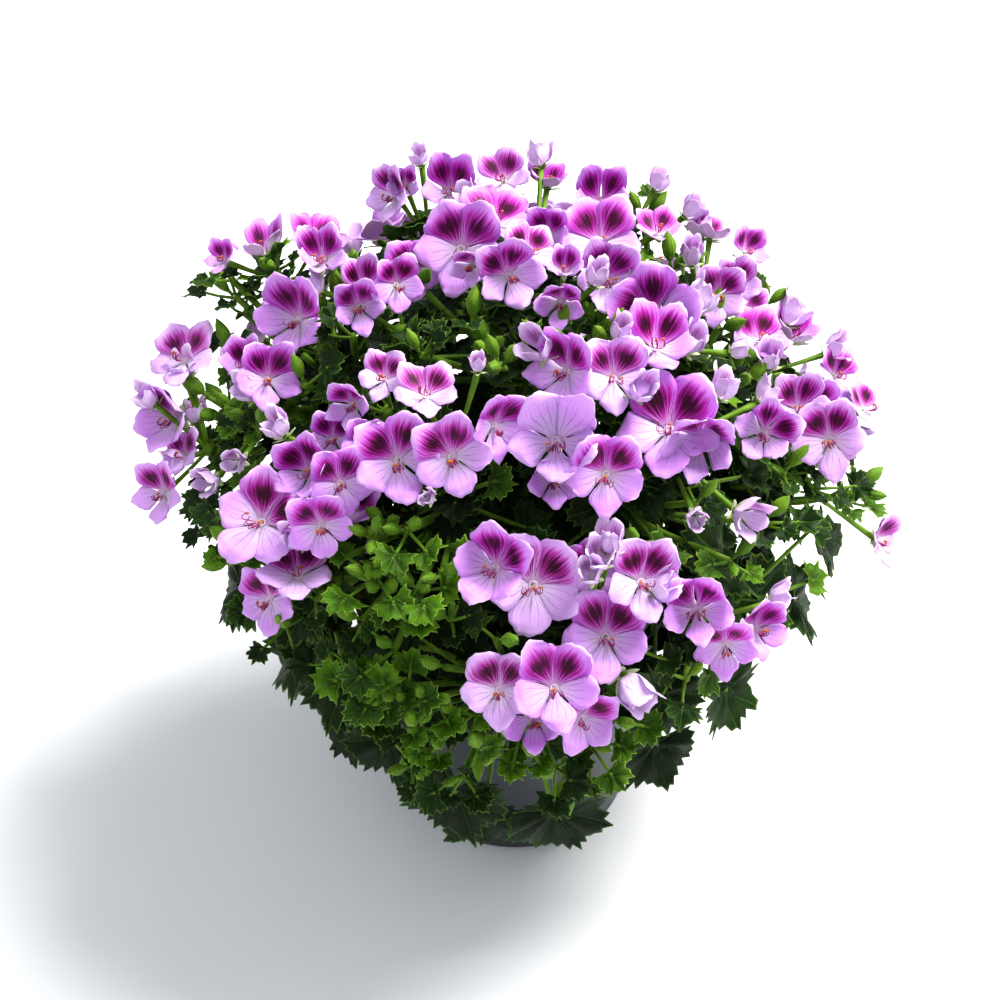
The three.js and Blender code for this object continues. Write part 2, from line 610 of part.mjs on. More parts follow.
function makeLeaf(k, pose) {
  const { frame, middle, size, joint, root } = leafPlace(k, pose);
  const reach = joint.distanceTo(root);
  const bend = joint.clone().add(root).multiplyScalar(0.5);
  bend.addScaledVector(pose.inwards ? frame.z : up, (pose.inwards ? -0.25 : 0.14) * reach);
  const line = k < domeLeaves && !pose.inwards ? [root] : [bend, root];
  const outline = outlineOf(k < domeLeaves ? leafHalf : largeLeafHalf, size);
  return stalkedBlade(frame, middle, outline, [0, 0, leafCup * size], line, [0.9, 1, 1.1]);
}

// A bud on its short stalk, leaning out from the knob of an umbel.
const budTurns = [0, 20, -20, 40, -40];

function makeBud(seed, hub, axis, turn) {
  const frame = frameOf(axis, new THREE.Vector3(0.3, 0, 1));
  const a = radians(turn);
  const side = inFrame(frame, new THREE.Vector3(), Math.cos(a), Math.sin(a), 0);
  const way = axis.clone().addScaledVector(side, 0.55 + 0.2 * spreadDraw(seed, 21)).normalize();
  const size = 1 + 0.2 * spreadDraw(seed, 22);
  const foot = hub.clone().addScaledVector(side, 1.2).addScaledVector(axis, -0.6);
  const at = (length) => foot.clone().addScaledVector(way, length * size);
  return bar([foot, at(0.9 * budLength), at(1.5 * budLength)], [0.8, budRadius * size, 0], 4);
}

function placeBuds(node, seed, count, hub, axis) {
  return Array.from({ length: count }, (_, b) => {
    const first = 47 * seed + (360 * b) / count;
    const tries = budTurns.map((turn) => makeBud(10 * seed + b, hub, axis, first + turn));
    return tries.find((bud) => isClear(bud, node));
  }).filter(Boolean);
}

// Assembly, in the order in which the pieces claim their space
const pot = makePot();
const soil = makeSoil();
const crown = makeCrown();
claim(pot, 'pot');
claim(soil, 'soil');
claim(crown, 'crown');

const stemSolids = stems.map((_, i) => [makeStem(i)]);
stemSolids.forEach(([stem], i) => claim(stem, stemNames[i]));

function addStalk(stem, hub, axis, radius, sides, knobLength) {
  const stalk = makeStalk(stemNames[stem], stem, hub, axis, radius, sides, knobLength);
  if (!stalk) return false;
  claim(stalk, stemNames[stem]);
  stemSolids[stem].push(stalk);
  return true;
}

heads.forEach(({ outward, hub }, h) => {
  if (!addStalk(nearestStem(outward), hub, outward, 1.4, 3, 0)) throw new Error(`no way to ${headNames[h]}`);
});
const headSolids = heads.map((_, h) => makeHead(h));

const buds = [
  ...frontBuds.map(([x, y, count]) => ({ hub: seenOnDome(x, y, budShare), count })),
  ...backBuds.map(([azimuth, elevation, count]) => ({ hub: onDome(azimuth, elevation, budShare), count })),
];
buds.forEach(({ hub, count }, b) => {
  const outward = hub.clone().sub(domeCentre).normalize();
  const stem = nearestStem(outward);
  if (!addStalk(stem, hub, outward, 1.1, 3, 3)) return;
  placeBuds(stemNames[stem], b + 1, count, hub, outward).forEach((bud) => {
    claim(bud, stemNames[stem]);
    stemSolids[stem].push(bud);
  });
});

leaves.forEach((_, k) => {
  const { stem } = leafPlace(k, leafPoses[0]);
  const leaf = placeBlade(stemNames[stem], leafPoses, (pose) => makeLeaf(k, pose), true);
  if (leaf) stemSolids[stem].push(...leaf);
});

const plant = new THREE.Group();
plant.add(meshOf('pot', pot, materials.pot), meshOf('soil', soil, materials.soil));
plant.add(meshOf('crown', crown, materials.bark));
stemSolids.forEach((solids, i) => plant.add(meshOf(stemNames[i], fuse(solids), materials.leaf)));
headSolids.forEach((solids, h) => plant.add(meshOf(headNames[h], fuse(solids), materials.petal)));

export default plant;
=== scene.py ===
"""A potted angel pelargonium in bloom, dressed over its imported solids.

The flowers, leaves, buds and stalks are worked out again from the same tables and formulas as the
solids, and each is placed as its solid is, with finer petals, teeth, veins and hairs.
Lengths are in millimetres until a mesh is made.
"""

import math

import bpy
import numpy as np
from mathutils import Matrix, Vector
from mathutils.kdtree import KDTree


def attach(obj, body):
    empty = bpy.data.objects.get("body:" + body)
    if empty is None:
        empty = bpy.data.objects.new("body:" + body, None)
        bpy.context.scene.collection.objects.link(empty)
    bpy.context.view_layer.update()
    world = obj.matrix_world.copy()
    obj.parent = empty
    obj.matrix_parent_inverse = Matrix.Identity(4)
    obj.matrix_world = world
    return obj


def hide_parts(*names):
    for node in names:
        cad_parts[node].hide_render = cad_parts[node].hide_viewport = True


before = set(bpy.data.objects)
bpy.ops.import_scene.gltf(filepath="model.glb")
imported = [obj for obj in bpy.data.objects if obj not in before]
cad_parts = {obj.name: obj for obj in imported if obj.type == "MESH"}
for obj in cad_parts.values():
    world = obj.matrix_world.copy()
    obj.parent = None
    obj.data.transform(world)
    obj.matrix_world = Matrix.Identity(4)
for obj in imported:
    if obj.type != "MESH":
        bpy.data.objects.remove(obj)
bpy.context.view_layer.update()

# The plant's layout, as in the solids
POT_HEIGHT, POT_TOP_RADIUS, POT_FOOT_RADIUS, POT_WALL = 105, 58, 44.5, 1.6
RIM_OVERHANG, RIM_DEPTH, FOOT_DEPTH, FLOOR_THICKNESS = 3, 8, 2.4, 1.9
SOIL_TOP, TRUNK_RADIUS, TRUNK_FOOT = 92, 6.5, 58
CROWN_HEIGHT, CROWN_REACH, GAP = 103, 17, 0.35
DOME_CENTRE = np.array([0.0, 0.0, 112.0])
DOME_SIZE = np.array([126.0, 126.0, 138.0])
STEM_SHARE, FLOWER_REACH, BLADE_THICKNESS = 0.74, 17, 0.9
LEAF_RADIUS, LARGE_LEAF_RADIUS, LEAF_CUP = 17, 19, -0.12
BUD_SHARE, BUD_LENGTH, BUD_RADIUS = 0.86, 8, 2.5
THROAT_DEPTH = -4

STEMS = [
    (-92, 6), (-38, 10), (12, 8), (66, 10), (122, 8), (-148, 8),
    (-112, 46), (-58, 44), (6, 46), (88, 44), (168, 44), (-80, 82),
]
# The front as an eye sees it, in a view 1000 wide and high: each flower's throat, width as a share
# of a full one, where it looks (across and up), and the turn of its upper petals
EYE, EYE_PITCH, VIEW_DISTANCE, VIEW_MIDDLE = np.array([-6.2, -590.7, 583.7]), 37, 2000, 500
FRONT_HEADS = [
    [(498, 690, 0.85, -0.1, 0, 0), (548, 680, 1, 0.1, 0.05, -5), (537, 718, 0.85, 0, -0.35, 0),
     (585, 720, 0.8, 0.4, -0.3, 20)],
    [(493, 567, 1, -0.25, 0.05, 35), (523, 595, 1.1, 0, 0, 10)],
    [(593, 643, 1, 0.05, 0.1, 5), (640, 605, 0.9, 0.3, 0.1, 0), (600, 590, 0.8, -0.1, 0.2, -30)],
    [(697, 610, 0.95, 0, 0, -5), (760, 628, 0.75, 0.5, 0.05, 10), (730, 648, 0.75, 0.1, -0.5, 0)],
    [(556, 440, 1.15, 0, 0.05, 0), (560, 470, 0.8, 0, -0.35, 0), (603, 460, 0.9, 0.1, -0.1, 5)],
    [(398, 460, 1, 0, 0, -15), (442, 458, 0.9, -0.1, 0, -20), (487, 455, 0.75, 0.5, -0.2, 0),
     (430, 408, 0.75, 0, 0.7, 0)],
    [(385, 380, 0.6, -0.2, 0.5, 10), (352, 398, 0.6, -0.3, -0.1, -10)],
    [(340, 483, 0.75, 0, 0, -10), (325, 435, 0.6, -0.1, 0.1, 0), (350, 430, 0.6, 0.1, 0.1, 0),
     (303, 455, 0.8, -0.4, 0.1, -20)],
    [(272, 500, 1.1, -0.3, 0.3, 40), (320, 520, 0.75, -0.1, -0.25, -10), (325, 488, 0.8, 0.3, 0.4, 30)],
    [(297, 570, 0.85, -0.1, 0.7, 0), (268, 597, 0.8, -0.6, -0.1, 0)],
    [(168, 418, 1, -0.6, 0, 10), (170, 447, 0.8, -0.4, 0.5, 0), (172, 380, 0.9, -0.4, 0.6, 0),
     (158, 493, 0.8, -0.6, 0, 0)],
    [(228, 380, 0.7, -0.1, 0.6, 0), (268, 378, 0.8, 0.1, 0.2, 5)],
    [(293, 318, 1, -0.5, 0.15, 20)],
    [(325, 275, 0.75, 0, 0.2, 0), (352, 268, 0.7, 0.3, 0.3, -15), (382, 280, 0.75, 0.2, 0.2, -5)],
    [(398, 285, 0.65, 0.3, 0, -10), (368, 306, 0.65, 0, 0, -15)],
    [(262, 246, 0.8, -0.2, 0.9, 0), (305, 247, 0.8, 0.2, 0.8, 0), (228, 253, 0.5, -0.5, 0.5, 0)],
    [(390, 195, 0.75, -0.7, 0.2, 10), (413, 206, 0.5, -0.2, -0.3, 0), (447, 188, 0.85, 0, 0.4, 0)],
    [(457, 243, 1.05, 0, 0.05, 10), (455, 263, 0.5, -0.3, -0.3, 0), (495, 216, 0.95, 0.1, 0.8, 0),
     (503, 270, 0.85, 0.1, 0, -25)],
    [(530, 190, 0.75, -0.3, 0.4, -10), (548, 180, 0.6, 0.1, 0.9, 0), (548, 234, 0.65, -0.1, 0.2, 0),
     (530, 250, 0.7, 0.3, 0.5, 0)],
    [(605, 198, 0.85, 0, 0.4, 0), (658, 228, 0.65, 0.1, 0.8, 0)],
    [(595, 238, 1, -0.05, 0.2, 0), (607, 262, 0.85, 0.2, 0.1, 5)],
    [(560, 303, 0.65, -0.1, -0.2, 10), (565, 268, 0.5, 0.1, 0.6, 0)],
    [(655, 315, 1.15, 0, 0.05, -35)],
    [(562, 370, 0.9, -0.5, 0.1, 15), (612, 378, 0.85, 0.2, 0.2, 0), (640, 350, 0.9, 0.2, 0.6, 0)],
    [(675, 410, 1.2, 0, 0.4, 5), (700, 443, 1, 0, -0.4, 10)],
    [(712, 232, 0.6, 0.3, 0.9, 0), (733, 250, 0.6, 0.5, 0.4, 0), (735, 285, 0.7, 0.2, 0.4, 0),
     (745, 295, 0.6, 0.5, 0.3, 20), (718, 295, 0.7, 0.1, 0.1, 10)],
    [(760, 335, 0.8, 0.4, 0.6, 0), (800, 340, 0.8, 0.3, 0.8, 0), (835, 365, 0.7, 0.6, 0.4, 10)],
    [(785, 378, 0.8, 0.2, 0.3, -10), (812, 402, 0.7, 0.4, 0.2, 0), (835, 385, 0.7, 0.6, 0.6, 0)],
    [(765, 433, 0.85, 0.1, 0, 40), (812, 437, 0.9, -0.1, 0.05, -10), (878, 485, 0.65, 0.8, 0, 0)],
]
# azimuth, elevation, open flowers, turn of the first, spread
BACK_HEADS = [
    (30, 14, 3, 20, 12), (57, 28, 3, 80, 12), (80, 10, 2, 50, 11), (86, 40, 3, 100, 12),
    (108, 24, 3, 140, 12), (132, 8, 2, 10, 11), (124, 42, 3, 60, 12), (148, 26, 3, 30, 12),
]
# place in the same view, or azimuth and elevation, and number of buds
FRONT_BUDS = [
    (488, 352, 3), (596, 328, 3), (733, 366, 2), (206, 396, 3), (230, 562, 2), (386, 524, 3), (392, 574, 3),
    (386, 700, 3), (424, 756, 3), (500, 744, 3), (566, 782, 3), (862, 490, 2),
]
BACK_BUDS = [(100, 0, 2), (68, 62, 2), (164, 58, 2)]
# azimuth, elevation, share of the dome, radius
LOW_LEAVES = [
    (-103, -15, 0.82, 21), (-82, -22, 0.82, 21), (-98, -28, 0.8, 19), (-118, -9, 0.82, 19),
    (-131, -14, 0.76, 19),
    (-127, 6, 0.82, 19), (-144, 2, 0.82, 20), (-156, -12, 0.74, 20), (-61, -8, 0.8, 18), (-62, 7, 0.84, 17),
    (-46, 0, 0.84, 16), (-20, 5, 0.86, 18), (-5, 8, 0.92, 16), (-33, 13, 0.83, 17), (-108, 6, 0.85, 17),
    (-115, 18, 0.84, 17), (-140, 16, 0.82, 18), (-172, -1, 0.84, 18), (176, 12, 0.9, 16), (160, 37, 0.92, 15),
]
# angle, radius and lift along half an outline
FLOWER_HALF = [
    (20, 15.6, 4), (50, 15.4, 2.8), (71, 6.4, -0.8), (90, 14, 0.6), (118, 13.8, 0.6),
    (140, 6, -1.4), (163, 15.2, 0.6),
]
LEAF_HALF = [
    (0, 1, 0.02), (24, 0.8, -0.05), (50, 1, 0.08), (76, 0.78, -0.04), (112, 0.92, 0.08), (180, 0.22, -0.1),
]
LARGE_LEAF_HALF = [
    (0, 1, 0.02), (21, 0.8, -0.05), (44, 1, 0.08), (66, 0.78, -0.04),
    (94, 0.96, 0.1), (136, 0.84, 0.04), (180, 0.22, -0.1),
]
DOME_LEAVES, BACK_LEAVES, GOLDEN_ANGLE = 25, 10, 137.508
LAYERS = (0.87, 0.79, 0.72)
UP = np.array([0.0, 0.0, 1.0])


# ---- Vectors and chance, as in the solids
def draw(a, b):
    x = math.sin(a * 12.9898 + b * 78.233) * 43758.5453
    return x - math.floor(x)


def spread(a, b):
    return 2 * draw(a, b) - 1


def three_spreads(seed, first):
    return np.array([spread(seed, first), spread(seed, first + 1), spread(seed, first + 2)])


def unit(v):
    return v / max(np.linalg.norm(v), 1e-12)


def direction(azimuth, elevation):
    a, e = math.radians(azimuth), math.radians(elevation)
    return np.array([math.cos(e) * math.cos(a), math.cos(e) * math.sin(a), math.sin(e)])


def on_dome(azimuth, elevation, share):
    return direction(azimuth, elevation) * DOME_SIZE * share + DOME_CENTRE


def frame_of(normal, towards):
    """Rows x, y and z of a right-handed frame: z is normal, and y is as near towards as it can be."""
    z = unit(normal)
    y = unit(towards - z * towards.dot(z))
    return np.array([np.cross(y, z), y, z])


def turned(f, a):
    """The direction a radians round from a frame's x towards its y."""
    return f[0] * math.cos(a) + f[1] * math.sin(a)


def spokes(f, angles):
    return np.cos(angles)[:, None] * f[0] + np.sin(angles)[:, None] * f[1]


def even_angles(count):
    return 2 * np.pi * np.arange(count) / count


def circle(radius, z, angles):
    return np.column_stack([radius * np.cos(angles), radius * np.sin(angles), np.full(len(angles), z)])


VIEW_RIGHT = np.array([1.0, 0, 0])
VIEW_UP, VIEW_AWAY = direction(90, 90 - EYE_PITCH), direction(90, -EYE_PITCH)


def sight_to(x, y):
    return unit(VIEW_AWAY * VIEW_DISTANCE + VIEW_UP * (VIEW_MIDDLE - y) + VIEW_RIGHT * (x - VIEW_MIDDLE))


def seen_on_dome(x, y, share):
    """Where a line of sight first meets a share of the dome, or comes nearest to it."""
    sight = sight_to(x, y)
    start, along = (EYE - DOME_CENTRE) / (DOME_SIZE * share), sight / (DOME_SIZE * share)
    nearest = -start.dot(along) / along.dot(along)
    reach = (1 - start.dot(start)) / along.dot(along) + nearest ** 2
    return EYE + sight * (nearest - math.sqrt(max(reach, 0)))


def smoothstep(low, high, x):
    t = np.clip((x - low) / (high - low), 0, 1)
    return t * t * (3 - 2 * t)


def outline_of(half, size):
    def point(angle, radius, lift, mirror):
        a = math.radians(angle)
        return (mirror * radius * size * math.sin(a), radius * size * math.cos(a), lift * size)

    off_axis = [p for p in half if p[0] % 180 != 0]
    return np.array([point(*p, 1) for p in half] + [point(*p, -1) for p in reversed(off_axis)])


def bar_rings(points, radii, sides, end_way=None):
    """The rings of the solids' tapered bars."""
    last, side, rings = len(points) - 1, np.array([0.28, 0.2, 0.94]), []
    for i, p in enumerate(points):
        way = unit(points[min(i + 1, last)] - points[max(i - 1, 0)])
        if i == last and end_way is not None:
            way = end_way
        f = frame_of(way, side)
        side = f[1]
        if i == last and radii[last] == 0:
            rings.append(np.array([p]))
            continue
        a = even_angles(sides)
        rings.append(p + radii[i] * (np.sin(a)[:, None] * f[0] + np.cos(a)[:, None] * f[1]))
    return rings


# ---- Where the solids are: each candidate pose is held against its node's own vertices
def node_tree(name):
    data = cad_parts[name].data
    co = np.empty(3 * len(data.vertices))
    data.vertices.foreach_get("co", co)
    tree = KDTree(len(data.vertices))
    for i, p in enumerate(co.reshape(-1, 3) * 1000):
        tree.insert(p, i)
    tree.balance()
    return tree


def share_met(tree, points, tolerance=0.06):
    return sum(tree.find(p)[2] < tolerance for p in points) / len(points)


def blade_points(f, origin, outline):
    local = np.concatenate([outline + [0, 0, BLADE_THICKNESS / 2], outline - [0, 0, BLADE_THICKNESS / 2]])
    return origin + local @ f


def best_pose(tree, poses, points_of, enough=0.7, least=0.45):
    """The pose whose points the solid's vertices meet best. Most poses already fail at four of them."""
    best, best_share = None, least
    for pose in poses:
        points = points_of(pose)
        if share_met(tree, points[:2]) == 0 and share_met(tree, points[5:7]) == 0:
            continue
        share = share_met(tree, points)
        if share > best_share:
            best, best_share = pose, share
        if share > enough:
            break
    return best


# ---- Leafy stems
def branch_direction(stem):
    return direction(stem[0], max(0.9 * stem[1], 24))


CROWN_CENTRE = np.array([0.0, 0.0, CROWN_HEIGHT])
STEM_SHARES = [0, 0.12, 0.4, 0.7, 1]


def stem_line(stem):
    way = branch_direction(stem)
    start = CROWN_CENTRE + way * (CROWN_REACH + GAP)
    bend = CROWN_CENTRE + way * 2.9 * CROWN_REACH
    end = on_dome(stem[0], stem[1], STEM_SHARE)
    points = [(1 - t) ** 2 * start + 2 * t * (1 - t) * bend + t * t * end for t in STEM_SHARES]
    points[1] = start + way * np.linalg.norm(points[1] - start)
    return points


STEM_LINES = [stem_line(stem) for stem in STEMS]


def along_stem(stem, share):
    i = max(next((k for k, end in enumerate(STEM_SHARES) if end >= share), 1), 1)
    part = (share - STEM_SHARES[i - 1]) / (STEM_SHARES[i] - STEM_SHARES[i - 1])
    return STEM_LINES[stem][i - 1] * (1 - part) + STEM_LINES[stem][i] * part


def nearest_stem(way):
    return int(np.argmax([direction(*stem).dot(way) for stem in STEMS]))


def stem_name(i):
    return f"leafy_stem_{i + 1:02d}"


def head_name(h):
    return f"flower_head_{h + 1:02d}"


def stalk_line(stem, hub, axis, swing, share, knob_length):
    root = along_stem(stem, share + 0.06 * spread(hub[0], hub[1]))
    reach = np.linalg.norm(hub - root)
    aside = np.cross(axis, unit(root - hub)) * swing * reach
    bend = hub - axis * 0.45 * reach + aside
    return [root, bend, hub - axis * knob_length, hub] if knob_length > 0 else [root, bend, hub]


STALK_WAYS = [(swing, share) for swing in (0, 0.3, -0.3, 0.6, -0.6)
              for share in (0.92, 0.82, 0.72, 0.62, 0.52, 0.42, 0.32)]


def find_stalk(tree, stem, hub, axis, radius, knob_length):
    def points_of(way):
        line = stalk_line(stem, hub, axis, *way, knob_length)
        rings = bar_rings(line, [1.1 * radius, radius, radius, 2.1 * radius], 3, axis)
        return rings[1]

    shares = [(share_met(tree, points_of(way)), -i) for i, way in enumerate(STALK_WAYS)]
    share, i = max(shares)
    return stalk_line(stem, hub, axis, *STALK_WAYS[-i], knob_length) if share > 0.3 else None


# ---- Flowers
def front_flower(x, y, size, across, above, turn):
    face = -sight_to(x, y) * math.sqrt(1 - across ** 2 - above ** 2) + VIEW_UP * above + VIEW_RIGHT * across
    towards = VIEW_UP * math.cos(math.radians(turn)) + VIEW_RIGHT * math.sin(math.radians(turn))
    return seen_on_dome(x, y, 1), unit(face), towards, size


def back_flower(head, f, seed):
    azimuth, elevation, count, turn, ring_radius = head
    outward = unit(on_dome(azimuth, elevation, 1) - DOME_CENTRE)
    f_axes = frame_of(outward, UP)
    angle = math.radians(turn + 360 * f / count + 12 * spread(seed, 1))
    side = turned(f_axes, angle)
    throat = on_dome(azimuth, elevation, 1) + side * ring_radius * (1 + 0.12 * spread(seed, 2))
    face = outward + side * ring_radius / 22 + three_spreads(seed, 4) * 0.3
    return throat, unit(face), UP, 0.88 + 0.12 * spread(seed, 8)


def head_of(flowers):
    middle = np.mean([flower[0] for flower in flowers], axis=0)
    outward = unit(middle - DOME_CENTRE)
    return flowers, outward, middle - outward * FLOWER_REACH


HEADS = [head_of([front_flower(*flower) for flower in flowers]) for flowers in FRONT_HEADS]
HEADS += [head_of([back_flower(head, f, 500 + 10 * h + f) for f in range(head[2])])
          for h, head in enumerate(BACK_HEADS)]
FLOWER_POSES = [(shrink, lean, step, pull, turn) for shrink in (1, 0.9, 0.8) for lean in (0, 0.35, 0.7)
                for step in (0, -4, 4, -8, 8, -12) for pull in (0, -0.25, 0.25, -0.5)
                for turn in (0, 15, -15, 30, -30)]


def flower_place(h, f, pose):
    shrink, lean, step, pull, turn = pose
    flowers, outward, hub = HEADS[h]
    throat, face, towards, size = flowers[f]
    reach = (throat - hub).dot(outward)
    side = (throat - hub - outward * reach) * (1 - pull)
    a = math.radians(turn)
    side = side * math.cos(a) + np.cross(outward, side) * math.sin(a)
    f = frame_of(face * (1 - lean) + outward * lean, towards)
    return f, hub + outward * (reach + step) + side, size * shrink


# ---- Leaves
def all_leaves():
    leaves = []
    for k in range(DOME_LEAVES):
        t = (k + 0.5) / DOME_LEAVES
        height = (1 - t) * math.sin(math.radians(82)) + t * math.sin(math.radians(16))
        leaves.append((k * GOLDEN_ANGLE, math.degrees(math.asin(height)), LAYERS[k % 3],
                       LEAF_RADIUS * (1 + 0.14 * spread(k, 11))))
    leaves += LOW_LEAVES
    for k in range(BACK_LEAVES):
        leaves.append((12 + 17 * k + 4 * spread(k, 12), 5 if k % 2 else -14, 0.87 if k % 2 else 0.8,
                       LARGE_LEAF_RADIUS * (1 + 0.1 * spread(k, 13))))
    return leaves


LEAVES = all_leaves()
LEAF_POSES = [(shrink, sink, inwards, swing) for shrink in (1, 0.85, 0.7) for sink in (0, 7, 14)
              for inwards in (False, True) for swing in (0, 16, -16, 32, -32, 48, -48)]


def leaf_place(k, pose, leaf=None):
    azimuth, elevation, share, radius = leaf or LEAVES[k]
    shrink, sink, inwards, swing = pose
    size = radius * shrink
    outward = direction(azimuth, elevation)
    middle = on_dome(azimuth, elevation, share) - outward * sink
    stem = nearest_stem(outward)
    normal = outward + UP * 0.35 + three_spreads(k, 14) * 0.25
    away = unit(middle - along_stem(stem, 1)) + UP * (-1 if elevation < 10 else -0.25)
    level = frame_of(normal, away)
    a = math.radians(swing + 20 * spread(k, 17))
    f = frame_of(level[2], level[0] * math.sin(a) + level[1] * math.cos(a))
    joint = middle + f[2] * LEAF_CUP * size
    shares = (0.25, 0.35, 0.45, 0.55, 0.65, 0.75, 0.85, 0.95)
    nearest = min(shares, key=lambda t: abs(np.linalg.norm(along_stem(stem, t) - joint) - 1.35 * size))
    root = along_stem(stem, min(nearest + 0.1 * draw(k, 18), 0.98))
    reach = np.linalg.norm(joint - root)
    bend = (joint + root) / 2 + (-0.25 * reach * f[2] if inwards else 0.14 * reach * UP)
    line = [joint, root] if k < DOME_LEAVES and not inwards else [joint, bend, root]
    return {"frame": f, "middle": middle, "size": size, "stem": stem, "line": line}


# ---- Buds
def bud_points(seed, hub, axis, turn):
    f = frame_of(axis, np.array([0.3, 0, 1.0]))
    a = math.radians(turn)
    side = turned(f, a)
    way = unit(axis + side * (0.55 + 0.2 * spread(seed, 21)))
    size = 1 + 0.2 * spread(seed, 22)
    foot = hub + side * 1.2 - axis * 0.6
    return foot, way, size


def bud_rings(seed, hub, axis, turn):
    foot, way, size = bud_points(seed, hub, axis, turn)
    line = [foot, foot + way * 0.9 * BUD_LENGTH * size, foot + way * 1.5 * BUD_LENGTH * size]
    return np.concatenate(bar_rings(line, [0.8, BUD_RADIUS * size, 0], 4)[1:])


# ---- Meshes in the making
def add_object(name, data):
    made = bpy.data.objects.new(name, data)
    bpy.context.scene.collection.objects.link(made)
    return made


class Piece:
    """One mesh: its points, faces and what its materials read at each point."""

    def __init__(self, name, slot, materials, nodes=()):
        self.name, self.slot, self.materials, self.nodes = name, slot, materials, nodes
        self.points, self.shapes, self.tones = [], [], []
        self.faces, self.kinds, self.count = [], [], 0

    def add(self, points, faces, material, shape, tone):
        """shape and tone are three numbers for each point, or three for all."""
        points = np.asarray(points, float).reshape(-1, 3)
        kind = self.materials.index(material)
        for block in faces if isinstance(faces, list) else [faces]:
            self.faces += (np.asarray(block) + self.count).tolist()
            self.kinds += [kind] * len(block)
        self.points.append(points)
        self.shapes.append(np.broadcast_to(shape, points.shape).astype(np.float32))
        self.tones.append(np.broadcast_to(tone, points.shape).astype(np.float32))
        self.count += len(points)

    def make(self):
        mesh = bpy.data.meshes.new(self.name)
        points = np.concatenate(self.points) / 1000
        mesh.from_pydata(points.tolist(), [], self.faces)
        mesh.polygons.foreach_set("material_index", self.kinds)
        mesh.polygons.foreach_set("use_smooth", [True] * len(self.faces))
        for label, values in (("shape", self.shapes), ("tone", self.tones)):
            attribute = mesh.attributes.new(label, "FLOAT_VECTOR", "POINT")
            attribute.data.foreach_set("vector", np.concatenate(values).ravel())
        for material in self.materials:
            mesh.materials.append(material)
        mesh.update()
        made = add_object(self.name, mesh)
        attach(made, "root")
        if self.nodes:
            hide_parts(*self.nodes)
        return made


def lattice(rows, cols, wrap=False):
    i = np.arange(rows - 1)[:, None]
    j = np.arange(cols if wrap else cols - 1)[None, :]
    a, b = i * cols + j, i * cols + (j + 1) % cols
    return np.stack([a, b, b + cols, a + cols], -1).reshape(-1, 4)


def end_caps(rows, sides):
    """The first and last face of a tube of rings."""
    return [np.array([np.arange(sides)[::-1]]), np.array([(rows - 1) * sides + np.arange(sides)])]


def edge_loop(rows, cols):
    bottom = np.arange(cols)
    right = np.arange(1, rows) * cols + cols - 1
    top = (rows - 1) * cols + np.arange(cols - 2, -1, -1)
    left = np.arange(rows - 2, 0, -1) * cols
    return np.concatenate([bottom, right, top, left])


def sheet_normals(grid):
    along, across = np.gradient(grid, axis=0), np.gradient(grid, axis=1)
    n = np.cross(across, along)
    return n / np.maximum(np.linalg.norm(n, axis=-1, keepdims=True), 1e-9)


def add_shell(piece, grid, thickness, material, shape, tone, transform):
    """A closed thin shell over a lattice of local points. The third tone is 1 in front, 0 behind."""
    rows, cols = grid.shape[:2]
    count = rows * cols
    back = grid - sheet_normals(grid) * thickness
    local = np.concatenate([grid.reshape(-1, 3), back.reshape(-1, 3)])
    front_faces = lattice(rows, cols)
    loop = edge_loop(rows, cols)
    after = np.roll(loop, -1)
    rim = np.stack([after, loop, loop + count, after + count], -1)
    side = np.concatenate([np.ones(count), np.zeros(count)])
    tones = np.column_stack([np.full(2 * count, tone[0]), np.full(2 * count, tone[1]), side])
    shapes = np.concatenate([shape.reshape(-1, 3)] * 2)
    piece.add(transform(local), np.concatenate([front_faces, front_faces[:, ::-1] + count, rim]),
              material, shapes, tones)
    return transform(grid.reshape(-1, 3))


def smooth_line(points, steps=4):
    """A Catmull-Rom line through the points."""
    p = [2 * points[0] - points[1], *points, 2 * points[-1] - points[-2]]
    out = []
    for i in range(1, len(p) - 2):
        for t in np.arange(steps) / steps:
            a, b, c, d = p[i - 1:i + 3]
            out.append(0.5 * (2 * b + (c - a) * t + (2 * a - 5 * b + 4 * c - d) * t * t
                              + (3 * b - a - 3 * c + d) * t ** 3))
    return np.array(out + [points[-1]])


def add_tube(piece, points, radii, sides, material, tone, shape_kind=0.0):
    """A closed round tube along points. Its shape is turns round, millimetres along, and a kind."""
    points = np.asarray(points)
    radii = np.interp(np.linspace(0, 1, len(points)), np.linspace(0, 1, len(radii)), radii)
    side, rings = np.array([0.28, 0.2, 0.94]), []
    angles = even_angles(sides)
    for i, p in enumerate(points):
        way = unit(points[min(i + 1, len(points) - 1)] - points[max(i - 1, 0)])
        f = frame_of(way, side)
        side = f[1]
        rings.append(p + radii[i] * spokes(f, angles))
    rows = len(points)
    runs = np.concatenate([[0], np.cumsum(np.linalg.norm(np.diff(points, axis=0), axis=1))])
    shape = np.column_stack([np.tile(np.arange(sides) / sides, rows), np.repeat(runs, sides),
                             np.full(rows * sides, shape_kind)])
    caps = end_caps(rows, sides)
    if sides == 4:
        caps = [np.concatenate(caps)]
    piece.add(np.concatenate(rings), [lattice(rows, sides, True), *caps], material, shape, tone)


